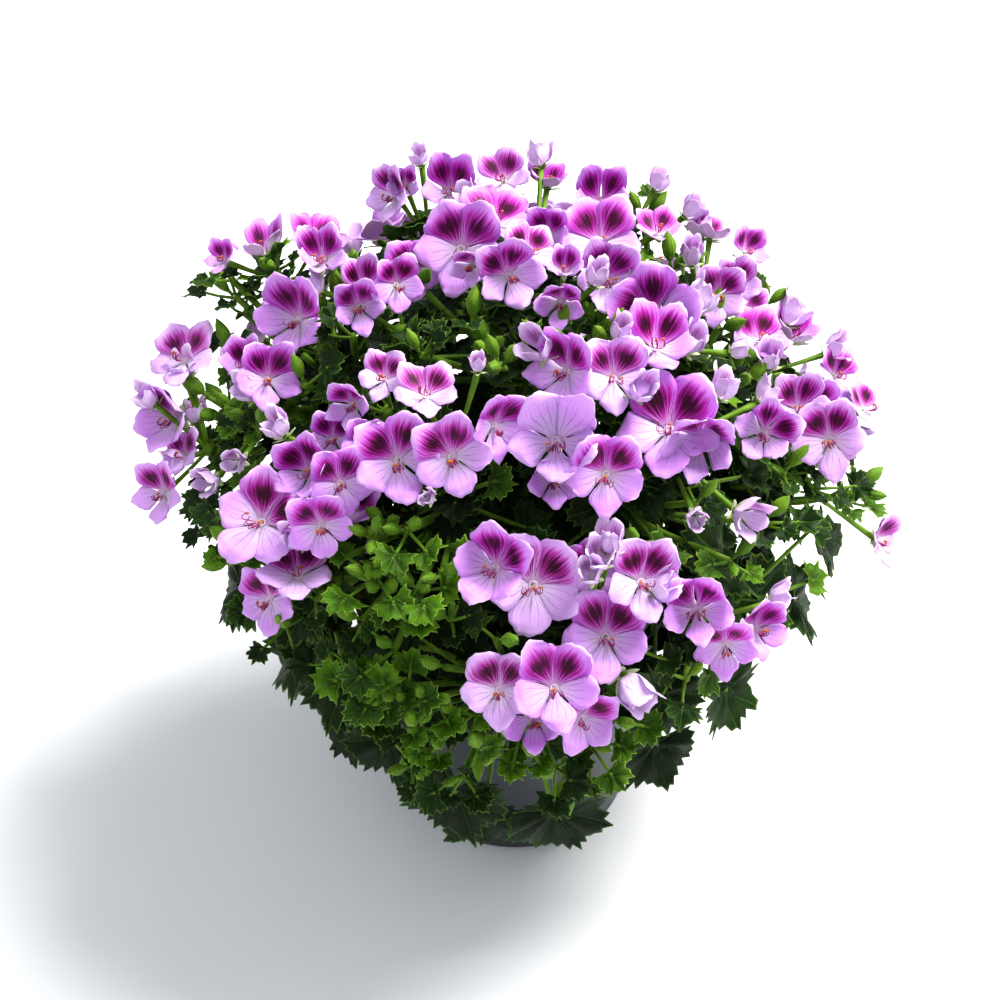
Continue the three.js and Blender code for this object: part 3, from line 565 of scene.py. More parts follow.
def add_revolved(piece, centre, axis, profile, sides, material, tone, kind=0.0, ridges=0, depth=0.0,
                 twist=0.0):
    """A pointed body round axis. profile is (share along, radius), and ridges raise its sides."""
    f = frame_of(axis, np.array([0.3, 0.1, 1.0]))
    angles = even_angles(sides)
    rings, shape = [], []
    for along, radius in profile:
        swell = 1 + depth * np.cos(ridges * (angles + twist * along))
        ring = radius * swell[:, None] * spokes(f, angles)
        rings.append(centre + ring + f[2] * along)
        shape.append(np.column_stack([np.arange(sides) / sides, np.full(sides, along), np.full(sides, kind)]))
    rows = len(profile)
    caps = end_caps(rows, sides)
    piece.add(np.concatenate(rings), [lattice(rows, sides, True), *caps], material,
              np.concatenate(shape), tone)


# ---- Room taken, in cells of 2 mm, so that added leaves stay clear of flowers and other leaves
CELL, ORIGIN = 2.0, np.array([-200.0, -200.0, -20.0])
# x from and to, y below and z below, where the pot's right side is seen and no leaf is added
OPEN_LEFT, OPEN_RIGHT, OPEN_Y, OPEN_Z = 20, 75, -40, 84
taken = np.zeros((200, 200, 170), bool)


def cells_of(points):
    index = np.floor((points - ORIGIN) / CELL).astype(int)
    return np.clip(index, 1, np.array(taken.shape) - 2)


def take(points, reach=1):
    index = cells_of(points)
    for dx in range(-reach, reach + 1):
        for dy in range(-reach, reach + 1):
            for dz in range(-reach, reach + 1):
                taken[index[:, 0] + dx, index[:, 1] + dy, index[:, 2] + dz] = True


def share_taken(points):
    """The share of the points where there is no room. Before the pot's right side there is none."""
    x, y, z = points.mean(axis=0)
    if OPEN_LEFT < x < OPEN_RIGHT and y < OPEN_Y and z < OPEN_Z:
        return 1
    index = cells_of(points)
    return taken[index[:, 0], index[:, 1], index[:, 2]].mean()


# ---- Materials
def srgb(text):
    """A linear colour from six hexadecimal digits."""
    channels = [int(text[i:i + 2], 16) / 255 for i in (0, 2, 4)]
    return tuple(c / 12.92 if c <= 0.04045 else ((c + 0.055) / 1.055) ** 2.4 for c in channels) + (1.0,)


class Value:
    """A socket of a material, to reckon with."""

    def __init__(self, look, socket):
        self.look, self.socket = look, socket

    def __add__(self, other):
        return self.look.math("ADD", self, other)

    def __sub__(self, other):
        return self.look.math("SUBTRACT", self, other)

    def __mul__(self, other):
        return self.look.math("MULTIPLY", self, other)

    def __abs__(self):
        return self.look.math("ABSOLUTE", self)


class Look:
    """A procedural material. Its helpers take values, plain numbers or six-digit colours."""

    def __init__(self, name, **plain):
        self.material = bpy.data.materials.new(name)
        self.material.use_nodes = True
        self.tree = self.material.node_tree
        self.shader = self.tree.nodes["Principled BSDF"]
        for label, value in plain.items():
            self.shader.inputs[label.replace("_", " ")].default_value = value

    def put(self, socket, value):
        if isinstance(value, Value):
            self.tree.links.new(value.socket, socket)
        else:
            socket.default_value = srgb(value) if isinstance(value, str) else value

    def node(self, kind, *inputs, out=0, **settings):
        """The output of a new node, which has each input's socket filled with its value."""
        node = self.tree.nodes.new("ShaderNode" + kind)
        for label, value in settings.items():
            setattr(node, label, value)
        for socket, value in inputs:
            self.put(node.inputs[socket], value)
        return Value(self, node.outputs[out])

    def math(self, operation, *values):
        return self.node("Math", *enumerate(values), operation=operation)

    def smooth(self, value, low, high, bottom=0.0, top=1.0):
        limits = enumerate((value, low, high, bottom, top))
        return self.node("MapRange", *limits, interpolation_type="SMOOTHSTEP")

    def mix(self, factor, a, b):
        return self.node("Mix", (0, factor), (6, a), (7, b), out=2, data_type="RGBA")

    def ramp(self, factor, *stops):
        made = self.node("ValToRGB", (0, factor))
        elements = made.socket.node.color_ramp.elements
        while len(elements) < len(stops):
            elements.new(0.5)
        for element, (at, colour) in zip(elements, stops):
            element.position, element.color = at, srgb(colour)
        return made

    def attribute(self, name):
        three = self.node("Attribute", attribute_name=name, out="Vector")
        split = self.node("SeparateXYZ", (0, three)).socket.node
        return [Value(self, socket) for socket in split.outputs]

    def vector(self, x, y, z):
        return self.node("CombineXYZ", (0, x), (1, y), (2, z))

    def place(self):
        return self.node("TexCoord", out="Object")

    def noise(self, vector, scale, detail=2.0, roughness=0.5, distortion=0.0):
        return self.node("TexNoise", ("Vector", vector), ("Scale", scale), ("Detail", detail),
                         ("Roughness", roughness), ("Distortion", distortion))

    def bump(self, height, strength, distance):
        return self.node("Bump", ("Strength", strength), ("Distance", distance), ("Height", height))

    def finish(self, colour, roughness, normal=None):
        self.put(self.shader.inputs["Base Color"], colour)
        self.put(self.shader.inputs["Roughness"], roughness)
        if normal is not None:
            self.put(self.shader.inputs["Normal"], normal)
        return self.material


def petal_look():
    """shape: across, along, blotch strength. tone: chance, paleness, side."""
    k = Look("petal", Subsurface_Weight=0.2, Subsurface_Radius=(0.0012, 0.0006, 0.0014),
             Subsurface_Scale=1.0, Specular_IOR_Level=0.25, Sheen_Weight=0.04, Sheen_Roughness=0.4)
    u, v, blotch = k.attribute("shape")
    chance, pale, side = k.attribute("tone")
    seed = chance * 37.0
    wander = k.noise(k.vector(u * 2.0, v * 3.0, seed), 1.0, 3.0)
    drift = (wander - 0.5) * 0.35
    x = u + drift

    def lines(count, width, offset=0.0):
        phase = x * count + (0.5 + offset)
        off = abs(k.math("FRACT", phase) - 0.5)
        return k.smooth(off, width, 0.0)

    main = lines(2.5, 0.12) * k.smooth(v, 0.9, 0.3)
    fine = lines(6.0, 0.16, 0.3) * (k.smooth(v, 0.3, 0.55) * k.smooth(v, 0.98, 0.7))
    streaks = k.noise(k.vector(u * 11.0, v * 1.4, seed), 1.0, 4.0, 0.6)

    # Dark blotch with feathered rays inside a magenta halo
    dx = (u + drift * 0.4) * 0.38
    dy = v - 0.47
    away = k.math("SQRT", dx * dx + dy * dy)
    feather = away + (streaks - 0.5) * -0.55
    halo = k.smooth(feather, 0.4, 0.2) * blotch
    core = k.smooth(feather, 0.26, 0.1) * blotch
    heart = k.smooth(feather, 0.16, 0.05) * blotch

    lower = k.ramp(v, (0.0, "E2D6E6"), (0.2, "E0C6F0"), (0.5, "DAA8F2"), (0.8, "D390EE"), (1.0, "DEACF6"))
    upper = k.ramp(v, (0.0, "E6CCE4"), (0.2, "DC98E0"), (0.45, "CE6ADA"), (0.75, "D284E8"),
                   (0.92, "DA9CF2"), (1.0, "E8BEF8"))
    broad = k.smooth(blotch, 0.05, 0.6)
    colour = k.mix(broad, lower, upper)
    tint = k.noise(k.vector(u * 1.5, v * 2.0, seed + 5.0), 1.0, 3.0)
    colour = k.mix(k.smooth(tint, 0.45, 0.78, 0.0, 0.3), colour, "C47CE4")
    colour = k.mix(pale * 0.75, colour, "F0E2F8")
    colour = k.mix(main * 0.55, colour, "8E3CA8")
    colour = k.mix(fine * 0.22, colour, "A350C0")
    colour = k.mix(halo * 0.92, colour, "B4009C")
    colour = k.mix(core * 0.97, colour, "560034")
    colour = k.mix(heart * 0.85, colour, "26000E")
    dark_veins = lines(3.5, 0.24) * k.smooth(v, 0.62, 0.3) * (broad * k.smooth(v, 0.06, 0.2))
    colour = k.mix(dark_veins * 0.7, colour, "5A0040")
    behind = k.mix((main + halo) * 0.28, "E2C4F0", "B06AD0")
    behind = k.mix(k.smooth(v, 0.5, 0.0, 0.0, 0.5), behind, "E9E4E4")
    colour = k.mix(side, behind, colour)
    ridges = main * -0.5 + streaks * 0.5
    soft = k.noise(k.place(), 900.0, 3.0)
    height = ridges + soft * 0.35
    rough = k.smooth(streaks, 0.3, 0.7, 0.42, 0.62)
    return k.finish(colour, rough, k.bump(height, 0.5, 0.0004))


def leaf_look():
    """shape: lobe phase, share from middle to edge, turn. tone: chance, darkening, side. Darkening is the
    leaf's age, and painted shade for leaves deep in or under the dome.
    """
    k = Look("leaf", Specular_IOR_Level=0.22)
    phase, r, _ = k.attribute("shape")
    _, darkening, side = k.attribute("tone")
    near = abs(k.math("FRACT", phase + 0.5) - 0.5)
    vein = k.smooth(near * r, 0.05, 0.005)
    chevron = k.math("FRACT", r * 6.5 - near * 6.0)
    side_vein = k.smooth(abs(chevron - 0.5), 0.11, 0.0) * k.smooth(r, 0.12, 0.3)
    place = k.place()
    patch = k.noise(place, 60.0, 4.0, 0.6)
    fine = k.noise(place, 420.0, 3.0, 0.6)
    young = k.ramp(patch, (0.25, "345604"), (0.5, "527E08"), (0.75, "78A41A"))
    middle = k.ramp(patch, (0.25, "0E2002"), (0.5, "183204"), (0.75, "264806"))
    old = k.ramp(patch, (0.25, "081202"), (0.5, "0C1C04"), (0.75, "142A08"))
    # Young, middle and old greens by darkening: the leaf's age, and painted shade for leaves deep in the dome
    colour = k.mix(k.smooth(darkening, 0.0, 0.5), young, middle)
    colour = k.mix(k.smooth(darkening, 0.5, 1.0), colour, old)
    colour = k.mix(k.smooth(fine, 0.35, 0.7, 0.0, 0.25), colour, "1A3004")
    # Painted shade: the leaf darkens towards its middle
    colour = k.mix(k.smooth(r, 0.85, 0.15) * 0.65, colour, "102204")
    vein_colour = k.mix(k.smooth(darkening, 0.0, 0.9), "6E9A2C", "24461A")
    colour = k.mix(vein * 0.55, colour, vein_colour)
    colour = k.mix(side_vein * 0.25, colour, vein_colour)
    # Pale rim at the leaf's edge: partly its own pale margin, partly a painted highlight where the edge
    # catches light
    margin_and_highlight_colour = k.mix(k.smooth(darkening, 0.1, 0.8), "9CBE48", "3A5C1C")
    rim = k.smooth(r, 0.93, 0.985) * k.smooth(patch, 0.3, 0.6, 0.55, 1.0)
    colour = k.mix(rim * 0.85, colour, margin_and_highlight_colour)
    behind = k.mix((vein + side_vein * 0.4) * 0.6, "4E7030", "86A35C")
    behind = k.mix(k.smooth(darkening, 0.0, 1.0, 0.0, 0.6), behind, "2E4A20")
    colour = k.mix(side, behind, colour)
    relief = vein * -1.0 + side_vein * -0.5
    relief = relief + (fine * 0.6 + patch * 0.8)
    rough = k.smooth(fine, 0.3, 0.7, 0.4, 0.62)
    return k.finish(colour, rough, k.bump(relief, 0.7, 0.0006))


def green_look():
    """Stalks, calyces and buds. shape: round, along, kind (0 stalk, 1 sepal or bud).
    tone: chance, age, paleness.
    """
    k = Look("green_skin", Specular_IOR_Level=0.3, Sheen_Weight=0.06, Sheen_Roughness=0.35)
    around, _, kind = k.attribute("shape")
    _, darkening, pale = k.attribute("tone")
    place = k.place()
    fuzz = k.noise(place, 1400.0, 2.0, 0.7)
    patch = k.noise(place, 150.0, 3.0)
    ribs = k.math("SINE", around * 62.8)
    young = k.ramp(patch, (0.3, "588414"), (0.7, "82A82C"))
    old = k.ramp(patch, (0.3, "2C4610"), (0.7, "48641C"))
    colour = k.mix(darkening, young, old)
    colour = k.mix(k.smooth(ribs, 0.3, 1.0) * (kind * 0.35), colour, "4E7A1C")
    colour = k.mix(pale, colour, "DCE6B8")
    colour = k.mix(k.smooth(fuzz, 0.6, 0.75, 0.0, 0.3), colour, "A8BE70")
    height = fuzz * 0.8 + ribs * kind * 0.3
    return k.finish(colour, k.smooth(fuzz, 0.3, 0.7, 0.5, 0.7), k.bump(height, 0.5, 0.0003))


def stamen_look():
    """shape: round, along, kind (0 filament, 1 anther)."""
    k = Look("stamen", Specular_IOR_Level=0.4, Subsurface_Weight=0.1,
             Subsurface_Radius=(0.001, 0.0005, 0.0008))
    _, along, kind = k.attribute("shape")
    grain = k.noise(k.place(), 1800.0, 2.0)
    thread = k.ramp(along * 0.13, (0.0, "E9D3E4"), (0.35, "B23A78"), (0.8, "8A1350"))
    anther = k.ramp(grain, (0.3, "9A3F14"), (0.7, "D98A3A"))
    colour = k.mix(kind, thread, anther)
    return k.finish(colour, k.smooth(grain, 0.3, 0.7, 0.45, 0.7), k.bump(grain, 0.4, 0.0002))


def bark_look():
    k = Look("bark", Specular_IOR_Level=0.25)
    _, along, kind = k.attribute("shape")
    place = k.place()
    coarse = k.noise(place, 160.0, 5.0, 0.65, 0.6)
    rings = k.noise(k.vector(0.0, 0.0, along * 0.5), 1.0, 2.0)
    wood = k.ramp(coarse, (0.25, "3A2C1A"), (0.5, "5F4C30"), (0.75, "83704C"))
    green = k.ramp(coarse, (0.25, "3C501E"), (0.6, "5C7430"), (0.8, "7A8C4C"))
    colour = k.mix(kind, wood, green)
    colour = k.mix(k.smooth(rings, 0.6, 0.7, 0.0, 0.5), colour, "7A6A48")
    height = coarse + rings * 0.6
    return k.finish(colour, k.smooth(coarse, 0.3, 0.7, 0.65, 0.9), k.bump(height, 0.8, 0.0008))


def soil_look():
    k = Look("soil", Specular_IOR_Level=0.2)
    _, _, kind = k.attribute("shape")
    place = k.place()
    coarse, fine = k.noise(place, 140.0, 6.0, 0.7), k.noise(place, 900.0, 4.0, 0.7)
    colour = k.ramp(coarse, (0.3, "120B07"), (0.5, "24170E"), (0.7, "3C2A1A"))
    colour = k.mix(k.smooth(fine, 0.62, 0.75, 0.0, 0.5), colour, "6A5238")
    colour = k.mix(kind, colour, k.ramp(fine, (0.3, "A9A296"), (0.7, "E4DED2")))
    height = coarse + fine * 0.6
    return k.finish(colour, k.smooth(fine, 0.3, 0.7, 0.8, 1.0), k.bump(height, 1.0, 0.0012))


def pot_look():
    """shape: turn, height, kind (1 on the mottled side, 0 elsewhere).

    The cut of the drain holes leaves it at 0 everywhere, so the whole pot is plain.
    """
    k = Look("pot_plastic", Specular_IOR_Level=0.5)
    turn, height, kind = k.attribute("shape")
    angle = turn * (2 * math.pi)
    around = k.vector(k.math("SINE", angle) * 5.0, k.math("COSINE", angle) * 5.0, height * 7.0)
    flow = k.noise(around, 1.6, 5.0, 0.62, 1.6)
    veins = abs(flow - 0.5)
    marble = k.smooth(veins, 0.055, 0.0) * k.noise(around, 2.2, 2.0)
    cloud = k.noise(around, 3.5, 4.0, 0.6, 0.8)
    place = k.place()
    grain = k.noise(place, 1500.0, 2.0)
    scuff = k.noise(k.vector(turn * 40.0, height * 2.0, 0.0), 3.0, 5.0, 0.7)
    plain = k.ramp(cloud, (0.3, "35383C"), (0.6, "43474C"), (0.8, "50555A"))
    mottled = k.ramp(cloud, (0.3, "2C2F33"), (0.48, "43474C"), (0.62, "5E6268"), (0.8, "7C8085"))
    mottled = k.mix(marble, mottled, "ACB0B4")
    colour = k.mix(kind, plain, mottled)
    colour = k.mix(k.smooth(scuff, 0.6, 0.72, 0.0, 0.18), colour, "8A8E92")
    rough = k.smooth(scuff, 0.3, 0.7, 0.32, 0.5)
    return k.finish(colour, rough, k.bump(grain + scuff * 0.4, 0.25, 0.0002))


PETAL, LEAF, GREEN, STAMEN = petal_look(), leaf_look(), green_look(), stamen_look()
BARK, SOIL, PLASTIC = bark_look(), soil_look(), pot_look()


# ---- A flower
# angle, length, half width, lift of the tip, blotch
PETALS = [
    (-34, 16.2, 8.3, 3.6, 1.0), (34, 16.2, 8.3, 3.6, 1.0),
    (-106, 14.6, 7.2, 0.7, 0.0), (106, 14.6, 7.2, 0.7, 0.0), (180, 15.6, 6.7, 0.5, 0.0),
]
PETAL_ROWS, PETAL_COLS, CLOSED_ROWS = 10, 9, 7
PETAL_THICKNESS, SEPAL_THICKNESS, STAMENS = 0.22, 0.25, 7
ROOM_HEIGHTS, ROOM_RADII = (5, 10, 15, 20), (4, 9)


# along and radius, of the throat's cup and of an anther
CUP_PROFILE = [(-1.4, 0.5), (-0.9, 1.15), (0.0, 1.5), (0.1, 1.1), (-0.7, 0.5)]
ANTHER_PROFILE = [(-0.75, 0.15), (-0.3, 0.42), (0.3, 0.42), (0.75, 0.15)]


def petal_grid(angle, length, half_width, lift, seed, tilt, close):
    s = np.linspace(0, 1, PETAL_ROWS if close < 1 else CLOSED_ROWS)[:, None] ** 0.9
    t = np.linspace(-1, 1, PETAL_COLS if close < 1 else CLOSED_ROWS)[None, :]
    q = s ** 1.35
    claw = 0.13 + 0.87 * smoothstep(0.0, 0.62, s)
    across = half_width * t * claw * np.sqrt(1 - 0.43 * q * q)
    along = 0.5 + (length - 0.5) * s * np.sqrt(1 - 0.47 * t * t * q * q)
    p = [6.28 * draw(seed, 40 + i) for i in range(5)]
    along = along * (1 + q * q * (0.045 * np.sin(2.6 * t + p[0]) + 0.02 * np.sin(9 * t + p[1])))
    z = THROAT_DEPTH * (1 - s) ** 1.35 + lift * s ** 1.2
    z = z + tilt * t * q - (0.9 + 0.5 * spread(seed, 46)) * t * t * q
    z = z + q * q * (0.75 * np.sin(3.6 * t + p[2]) + 0.28 * np.sin(9 * t + p[3]))
    z = z - (0.5 + 1.2 * draw(seed, 47)) * smoothstep(0.72, 1.0, s) * (1 + 0.5 * np.sin(3 * t + p[4]))
    lean = close * smoothstep(0.1, 0.8, s)
    z, along = z + along * np.sin(lean) * 0.8, along * (1 - 0.35 * (1 - np.cos(lean * 1.6)))
    a = math.radians(angle)
    x = along * math.sin(a) + across * math.cos(a)
    y = along * math.cos(a) - across * math.sin(a)
    return np.stack([x, y, z + 0 * x], -1), s + 0 * t, t + 0 * s


def add_flower(piece, green, f, throat, size, seed, pedicel_root, blotch, pale, closed=None):
    def transform(local):
        return throat + (local * size) @ f

    front = 1 if draw(seed, 50) < 0.5 else -1
    close = 0.75 * draw(seed, 51) ** 2 if closed is None else closed
    slim = 1 - 0.25 * min(close, 1)
    for i, (angle, length, half_width, lift, marked) in enumerate(PETALS):
        own = 10 * seed + i
        tilt = 0.0
        if i < 2:
            inner = 1 if i == 0 else -1
            is_front = (i == 0) == (front > 0)
            tilt = inner * (0.75 if is_front else -0.55)
            angle += inner * (4 if is_front else -3) * draw(seed, 52)
        angle += 4 * spread(own, 53)
        length *= 1 + 0.05 * spread(own, 54)
        half_width *= slim * (1 + 0.08 * spread(own, 55))
        lift += 0.8 * spread(own, 56)
        own_close = close * (0.6 + 0.8 * draw(own, 57))
        grid, s, t = petal_grid(angle, length, half_width, lift, own, tilt, own_close)
        if i < 2:
            grid[..., 2] += 0.25 if (i == 0) == (front > 0) else -0.1
        shape = np.stack([t, s, np.full_like(s, marked * blotch)], -1)
        points = add_shell(piece, grid, PETAL_THICKNESS, PETAL, shape, (draw(own, 58), pale), transform)
        take(points[::2])
    for height in ROOM_HEIGHTS if closed is None else ():
        for radius in ROOM_RADII:
            take(transform(circle(radius, height, even_angles(12))))

    add_stamens(piece, f, size, seed, transform, STAMENS if close < 1 else 0)
    add_calyx(green, seed, transform)
    back = transform(np.array([0, 0, THROAT_DEPTH - BLADE_THICKNESS / 2]))
    middle = (back + pedicel_root) / 2 - f[2] * 0.6
    add_tube(green, smooth_line([pedicel_root, middle, back], 3), [0.75, 0.7, 0.85, 1.25], 6, GREEN,
             (draw(seed, 75), 0.3, 0.0))


def add_stamens(piece, f, size, seed, transform, count):
    """The cup of the throat, and stamens that curve down and out of it."""
    cup = [(a * size, r * size) for a, r in CUP_PROFILE]
    add_revolved(piece, transform(np.array([0, 0, THROAT_DEPTH + 0.6])), f[2], cup, 8, STAMEN,
                 (draw(seed, 59), 0, 0))
    for i in range(count):
        own = 7 * seed + i
        a = math.radians(180 + 46 * spread(own, 61))
        reach, rise = 3.4 + 1.4 * draw(own, 62), 3.2 + 1.5 * draw(own, 63)
        out = np.array([math.sin(a), math.cos(a), 0])
        hook = 1.2 * spread(own, 64)
        line = [np.array([0.4 * out[0], 0.4 * out[1], THROAT_DEPTH + 0.8]), 0.4 * reach * out + [0, 0, -1.6],
                0.85 * reach * out + [0.2 * hook, 0, rise * 0.2],
                reach * out + [0.6 * hook, 0.9, rise * 0.62], 0.8 * reach * out + [hook, 1.9, rise * 0.75]]
        points = transform(smooth_line([np.array(p, float) for p in line], 2))
        add_tube(piece, points, [0.2, 0.17, 0.13], 3, STAMEN, (draw(seed, 65), 0, 0))
        if i < 3 and draw(seed, 66 + i) < 0.55:
            tip = points[-1]
            add_revolved(piece, tip - f[2] * 0.35, f[0] + 0.6 * f[1], ANTHER_PROFILE, 6, STAMEN,
                         (draw(seed, 70), 0, 0), kind=1.0)


def add_calyx(green, seed, transform):
    for i in range(5):
        own = 5 * seed + i
        a = math.radians(36 + 72 * i + 8 * spread(own, 71))
        s = np.linspace(0, 1, 5)[:, None]
        t = np.linspace(-1, 1, 3)[None, :]
        length = 7.4 + 1.6 * spread(own, 72)
        across = 1.75 * t * np.sin(np.pi * (0.12 + 0.86 * s)) ** 0.8
        along = 0.5 + length * s
        z = -1.1 - 0.9 * (1 - s) + 1.3 * s * s * spread(own, 73) - 0.35 * (1 - t * t) - 0.1 * along
        x = along * math.sin(a) + across * math.cos(a)
        y = along * math.cos(a) - across * math.sin(a)
        grid = np.stack([x, y, z + THROAT_DEPTH * (1 - 0.72 * s) + 0 * across], -1)
        shape = np.stack([0.5 * (t + 1) + 0 * s, s + 0 * t, np.ones_like(s + t)], -1)
        add_shell(green, grid, SEPAL_THICKNESS, GREEN, shape, (draw(seed, 74), 0.35), transform)


# ---- A leaf
def leaf_outline(half, count):
    """Points at even steps along the outline, each with its lobe phase."""
    corners = outline_of(half, 1.0)[::-1]
    closed = np.vstack([corners, corners[:1]])
    runs = np.concatenate([[0], np.cumsum(np.linalg.norm(np.diff(closed[:, :2], axis=0), axis=1))])
    at = np.linspace(0, runs[-1], count, endpoint=False)
    points = np.column_stack([np.interp(at, runs, closed[:, i]) for i in range(3)])
    angle = np.degrees(np.arctan2(points[:, 0], points[:, 1]))
    lobes = [0, 50, 112, 180] if len(half) == 6 else [0, 44, 94, 136, 180]
    phases = [0, 1, 2, 2.5] if len(half) == 6 else [0, 1, 2, 3, 3.5]
    return points, np.sign(angle) * np.interp(np.abs(angle), lobes, phases), np.radians(angle)


# how far out each ring of a leaf is, for each number of points round it
RING_SHARES = {60: [0.3, 0.56, 0.8, 0.95, 1.0], 44: [0.38, 0.72, 0.93, 1.0], 30: [0.48, 0.85, 1.0]}
OUTLINES = {(large, count): leaf_outline(LARGE_LEAF_HALF if large else LEAF_HALF, count)
            for large in (False, True) for count in RING_SHARES}


def leaf_points(f, middle, size, seed, large, count, crinkle, droop=0.0):
    outline, phase, angle = OUTLINES[large, count]
    reach = 0.14 if count < 60 else 0.09
    teeth = np.where(np.arange(count) % 2 == 0, 1 + reach, 1 - reach)
    teeth = 1 + (teeth - 1) * (0.8 + 0.4 * np.sin(5 * angle + seed)) * (np.abs(angle) < 2.75)
    shares = np.array(RING_SHARES[count])
    rho = shares[:, None]
    tooth = 1 + (teeth - 1) * smoothstep(0.7, 1.0, rho)
    wide = 0.1 * np.sin(3 * angle + 6.28 * draw(seed, 81))
    wave = crinkle * rho ** 2 * (wide + 0.045 * np.sin(7 * angle + 6.28 * draw(seed, 82)))
    fold = 0.09 * crinkle * np.cos(2 * np.pi * phase) * rho * (1.15 - rho) * 2
    z = LEAF_CUP * (1 - rho) + outline[:, 2] * rho + wave - fold - droop * rho ** 2.2
    z = z - 0.05 * draw(seed, 83) * smoothstep(0.75, 1.0, rho) * (1 + np.sin(4 * angle + seed))
    x, y = outline[:, 0] * rho * tooth, outline[:, 1] * rho * tooth
    ring = np.stack([x, y, z], -1) * size
    centre = np.array([[0, 0, LEAF_CUP * size - 0.02 * size]])
    return middle + np.vstack([centre, ring.reshape(-1, 3)]) @ f, shares, phase, angle


def add_leaf(piece, f, middle, size, seed, darkening, large=False, crinkle=1.0, droop=0.0):
    count = 60 if size > 17 else 44 if size > 11.5 else 30
    front, shares, phase, angle = leaf_points(f, middle, size, seed, large, count, crinkle, droop)
    rows, n = len(shares), len(front)
    thickness = 0.45 if size > 12 else 0.32
    back = front - f[2] * thickness
    ring_faces = lattice(rows, count, True) + 1
    j = np.arange(count)
    fan = np.stack([np.zeros(count, int), j + 1, (j + 1) % count + 1], -1)
    last = 1 + (rows - 1) * count
    rim = np.stack([last + (j + 1) % count, last + j, last + j + n, last + (j + 1) % count + n], -1)
    # rings run inwards to outwards and anticlockwise, so a lattice face reads the other way round
    quads = np.concatenate([ring_faces[:, ::-1], ring_faces + n, rim[:, ::-1][:, [3, 2, 1, 0]]])
    tris = np.concatenate([fan, fan[:, ::-1] + n])
    rings = np.column_stack([np.tile(phase, rows), np.repeat(shares, count), np.tile(angle, rows)])
    shape = np.vstack([[0, 0, 0], rings])
    side = np.concatenate([np.ones(n), np.zeros(n)])
    tone = np.column_stack([np.full(2 * n, draw(seed, 84)), np.full(2 * n, darkening), side])
    piece.add(np.vstack([front, back]), [quads, tris], LEAF, np.vstack([shape, shape]), tone)
    return front


# ---- Buds and hairs
def add_hairs(piece, points, normals, length, seed, pale=0.8):
    """Thin three-sided hairs standing on the points."""
    rng = np.random.default_rng(seed)
    n = len(points)
    tips = points + (normals + rng.normal(0, 0.45, (n, 3))) * length * rng.uniform(0.6, 1.2, (n, 1))
    side = np.cross(normals, [0.3, 0.5, 0.8])
    side /= np.maximum(np.linalg.norm(side, axis=1, keepdims=True), 1e-6)
    other = np.cross(normals, side)
    foot = [points + 0.06 * (math.cos(a) * side + math.sin(a) * other) for a in (0, 2.094, 4.189)]
    stacked = np.stack([*foot, tips], 1).reshape(-1, 3)
    base = 4 * np.arange(n)[:, None]
    faces = np.concatenate([base + [0, 1, 3], base + [1, 2, 3], base + [2, 0, 3], base + [2, 1, 0]])
    piece.add(stacked, faces, GREEN, (0, 0, 0), (0.5, 0, pale))


BUD_PROFILE = [(0, 0.8), (0.1, 1.5), (0.25, 2.15), (0.45, 2.5), (0.62, 2.2), (0.8, 1.4), (0.93, 0.55),
               (1.0, 0.12)]


def add_bud(piece, foot, way, size, seed, radius=1.0):
    stalk = 0.33 * BUD_LENGTH * size
    line = np.array([foot, foot + way * stalk * 0.5, foot + way * stalk])
    add_tube(piece, line, [0.65, 0.6, 0.8], 6, GREEN, (draw(seed, 90), 0.25, 0.0))
    length = 1.17 * BUD_LENGTH * size
    base = foot + way * stalk * 0.9
    profile = [(share * length, r * size * radius) for share, r in BUD_PROFILE]
    darkening = 0.25 * draw(seed, 91)
    add_revolved(piece, base, way, profile, 10, GREEN, (draw(seed, 92), darkening, 0.0), kind=1.0,
                 ridges=5, depth=0.09, twist=0.12)
    rng = np.random.default_rng(int(1000 * draw(seed, 93)))
    f = frame_of(way, np.array([0.3, 0.1, 1.0]))
    a, along = rng.uniform(0, 6.283, 22), rng.uniform(0.05, 1.0, 22)
    r = np.interp(along, *zip(*BUD_PROFILE)) * size * radius
    normals = spokes(f, a) + f[2] * (2 * along[:, None] - 0.8)
    normals /= np.linalg.norm(normals, axis=1, keepdims=True)
    points = base + f[2] * (along * length)[:, None] + r[:, None] * spokes(f, a)
    add_hairs(piece, points, normals, 0.9, int(1000 * draw(seed, 94)))
    take(base + way * np.linspace(0, length, 5)[:, None])


def add_hairy_line(piece, line, radius, count, seed):
    rng = np.random.default_rng(seed)
    at = rng.uniform(0, len(line) - 1.001, count)
    i = at.astype(int)
    way = line[i + 1] - line[i]
    points = line[i] + way * (at - i)[:, None]
    way /= np.maximum(np.linalg.norm(way, axis=1, keepdims=True), 1e-6)
    side = np.cross(way, rng.normal(0, 1, (count, 3)))
    side /= np.maximum(np.linalg.norm(side, axis=1, keepdims=True), 1e-6)
    add_hairs(piece, points + side * radius, side, 1.0, seed + 1, 0.6)


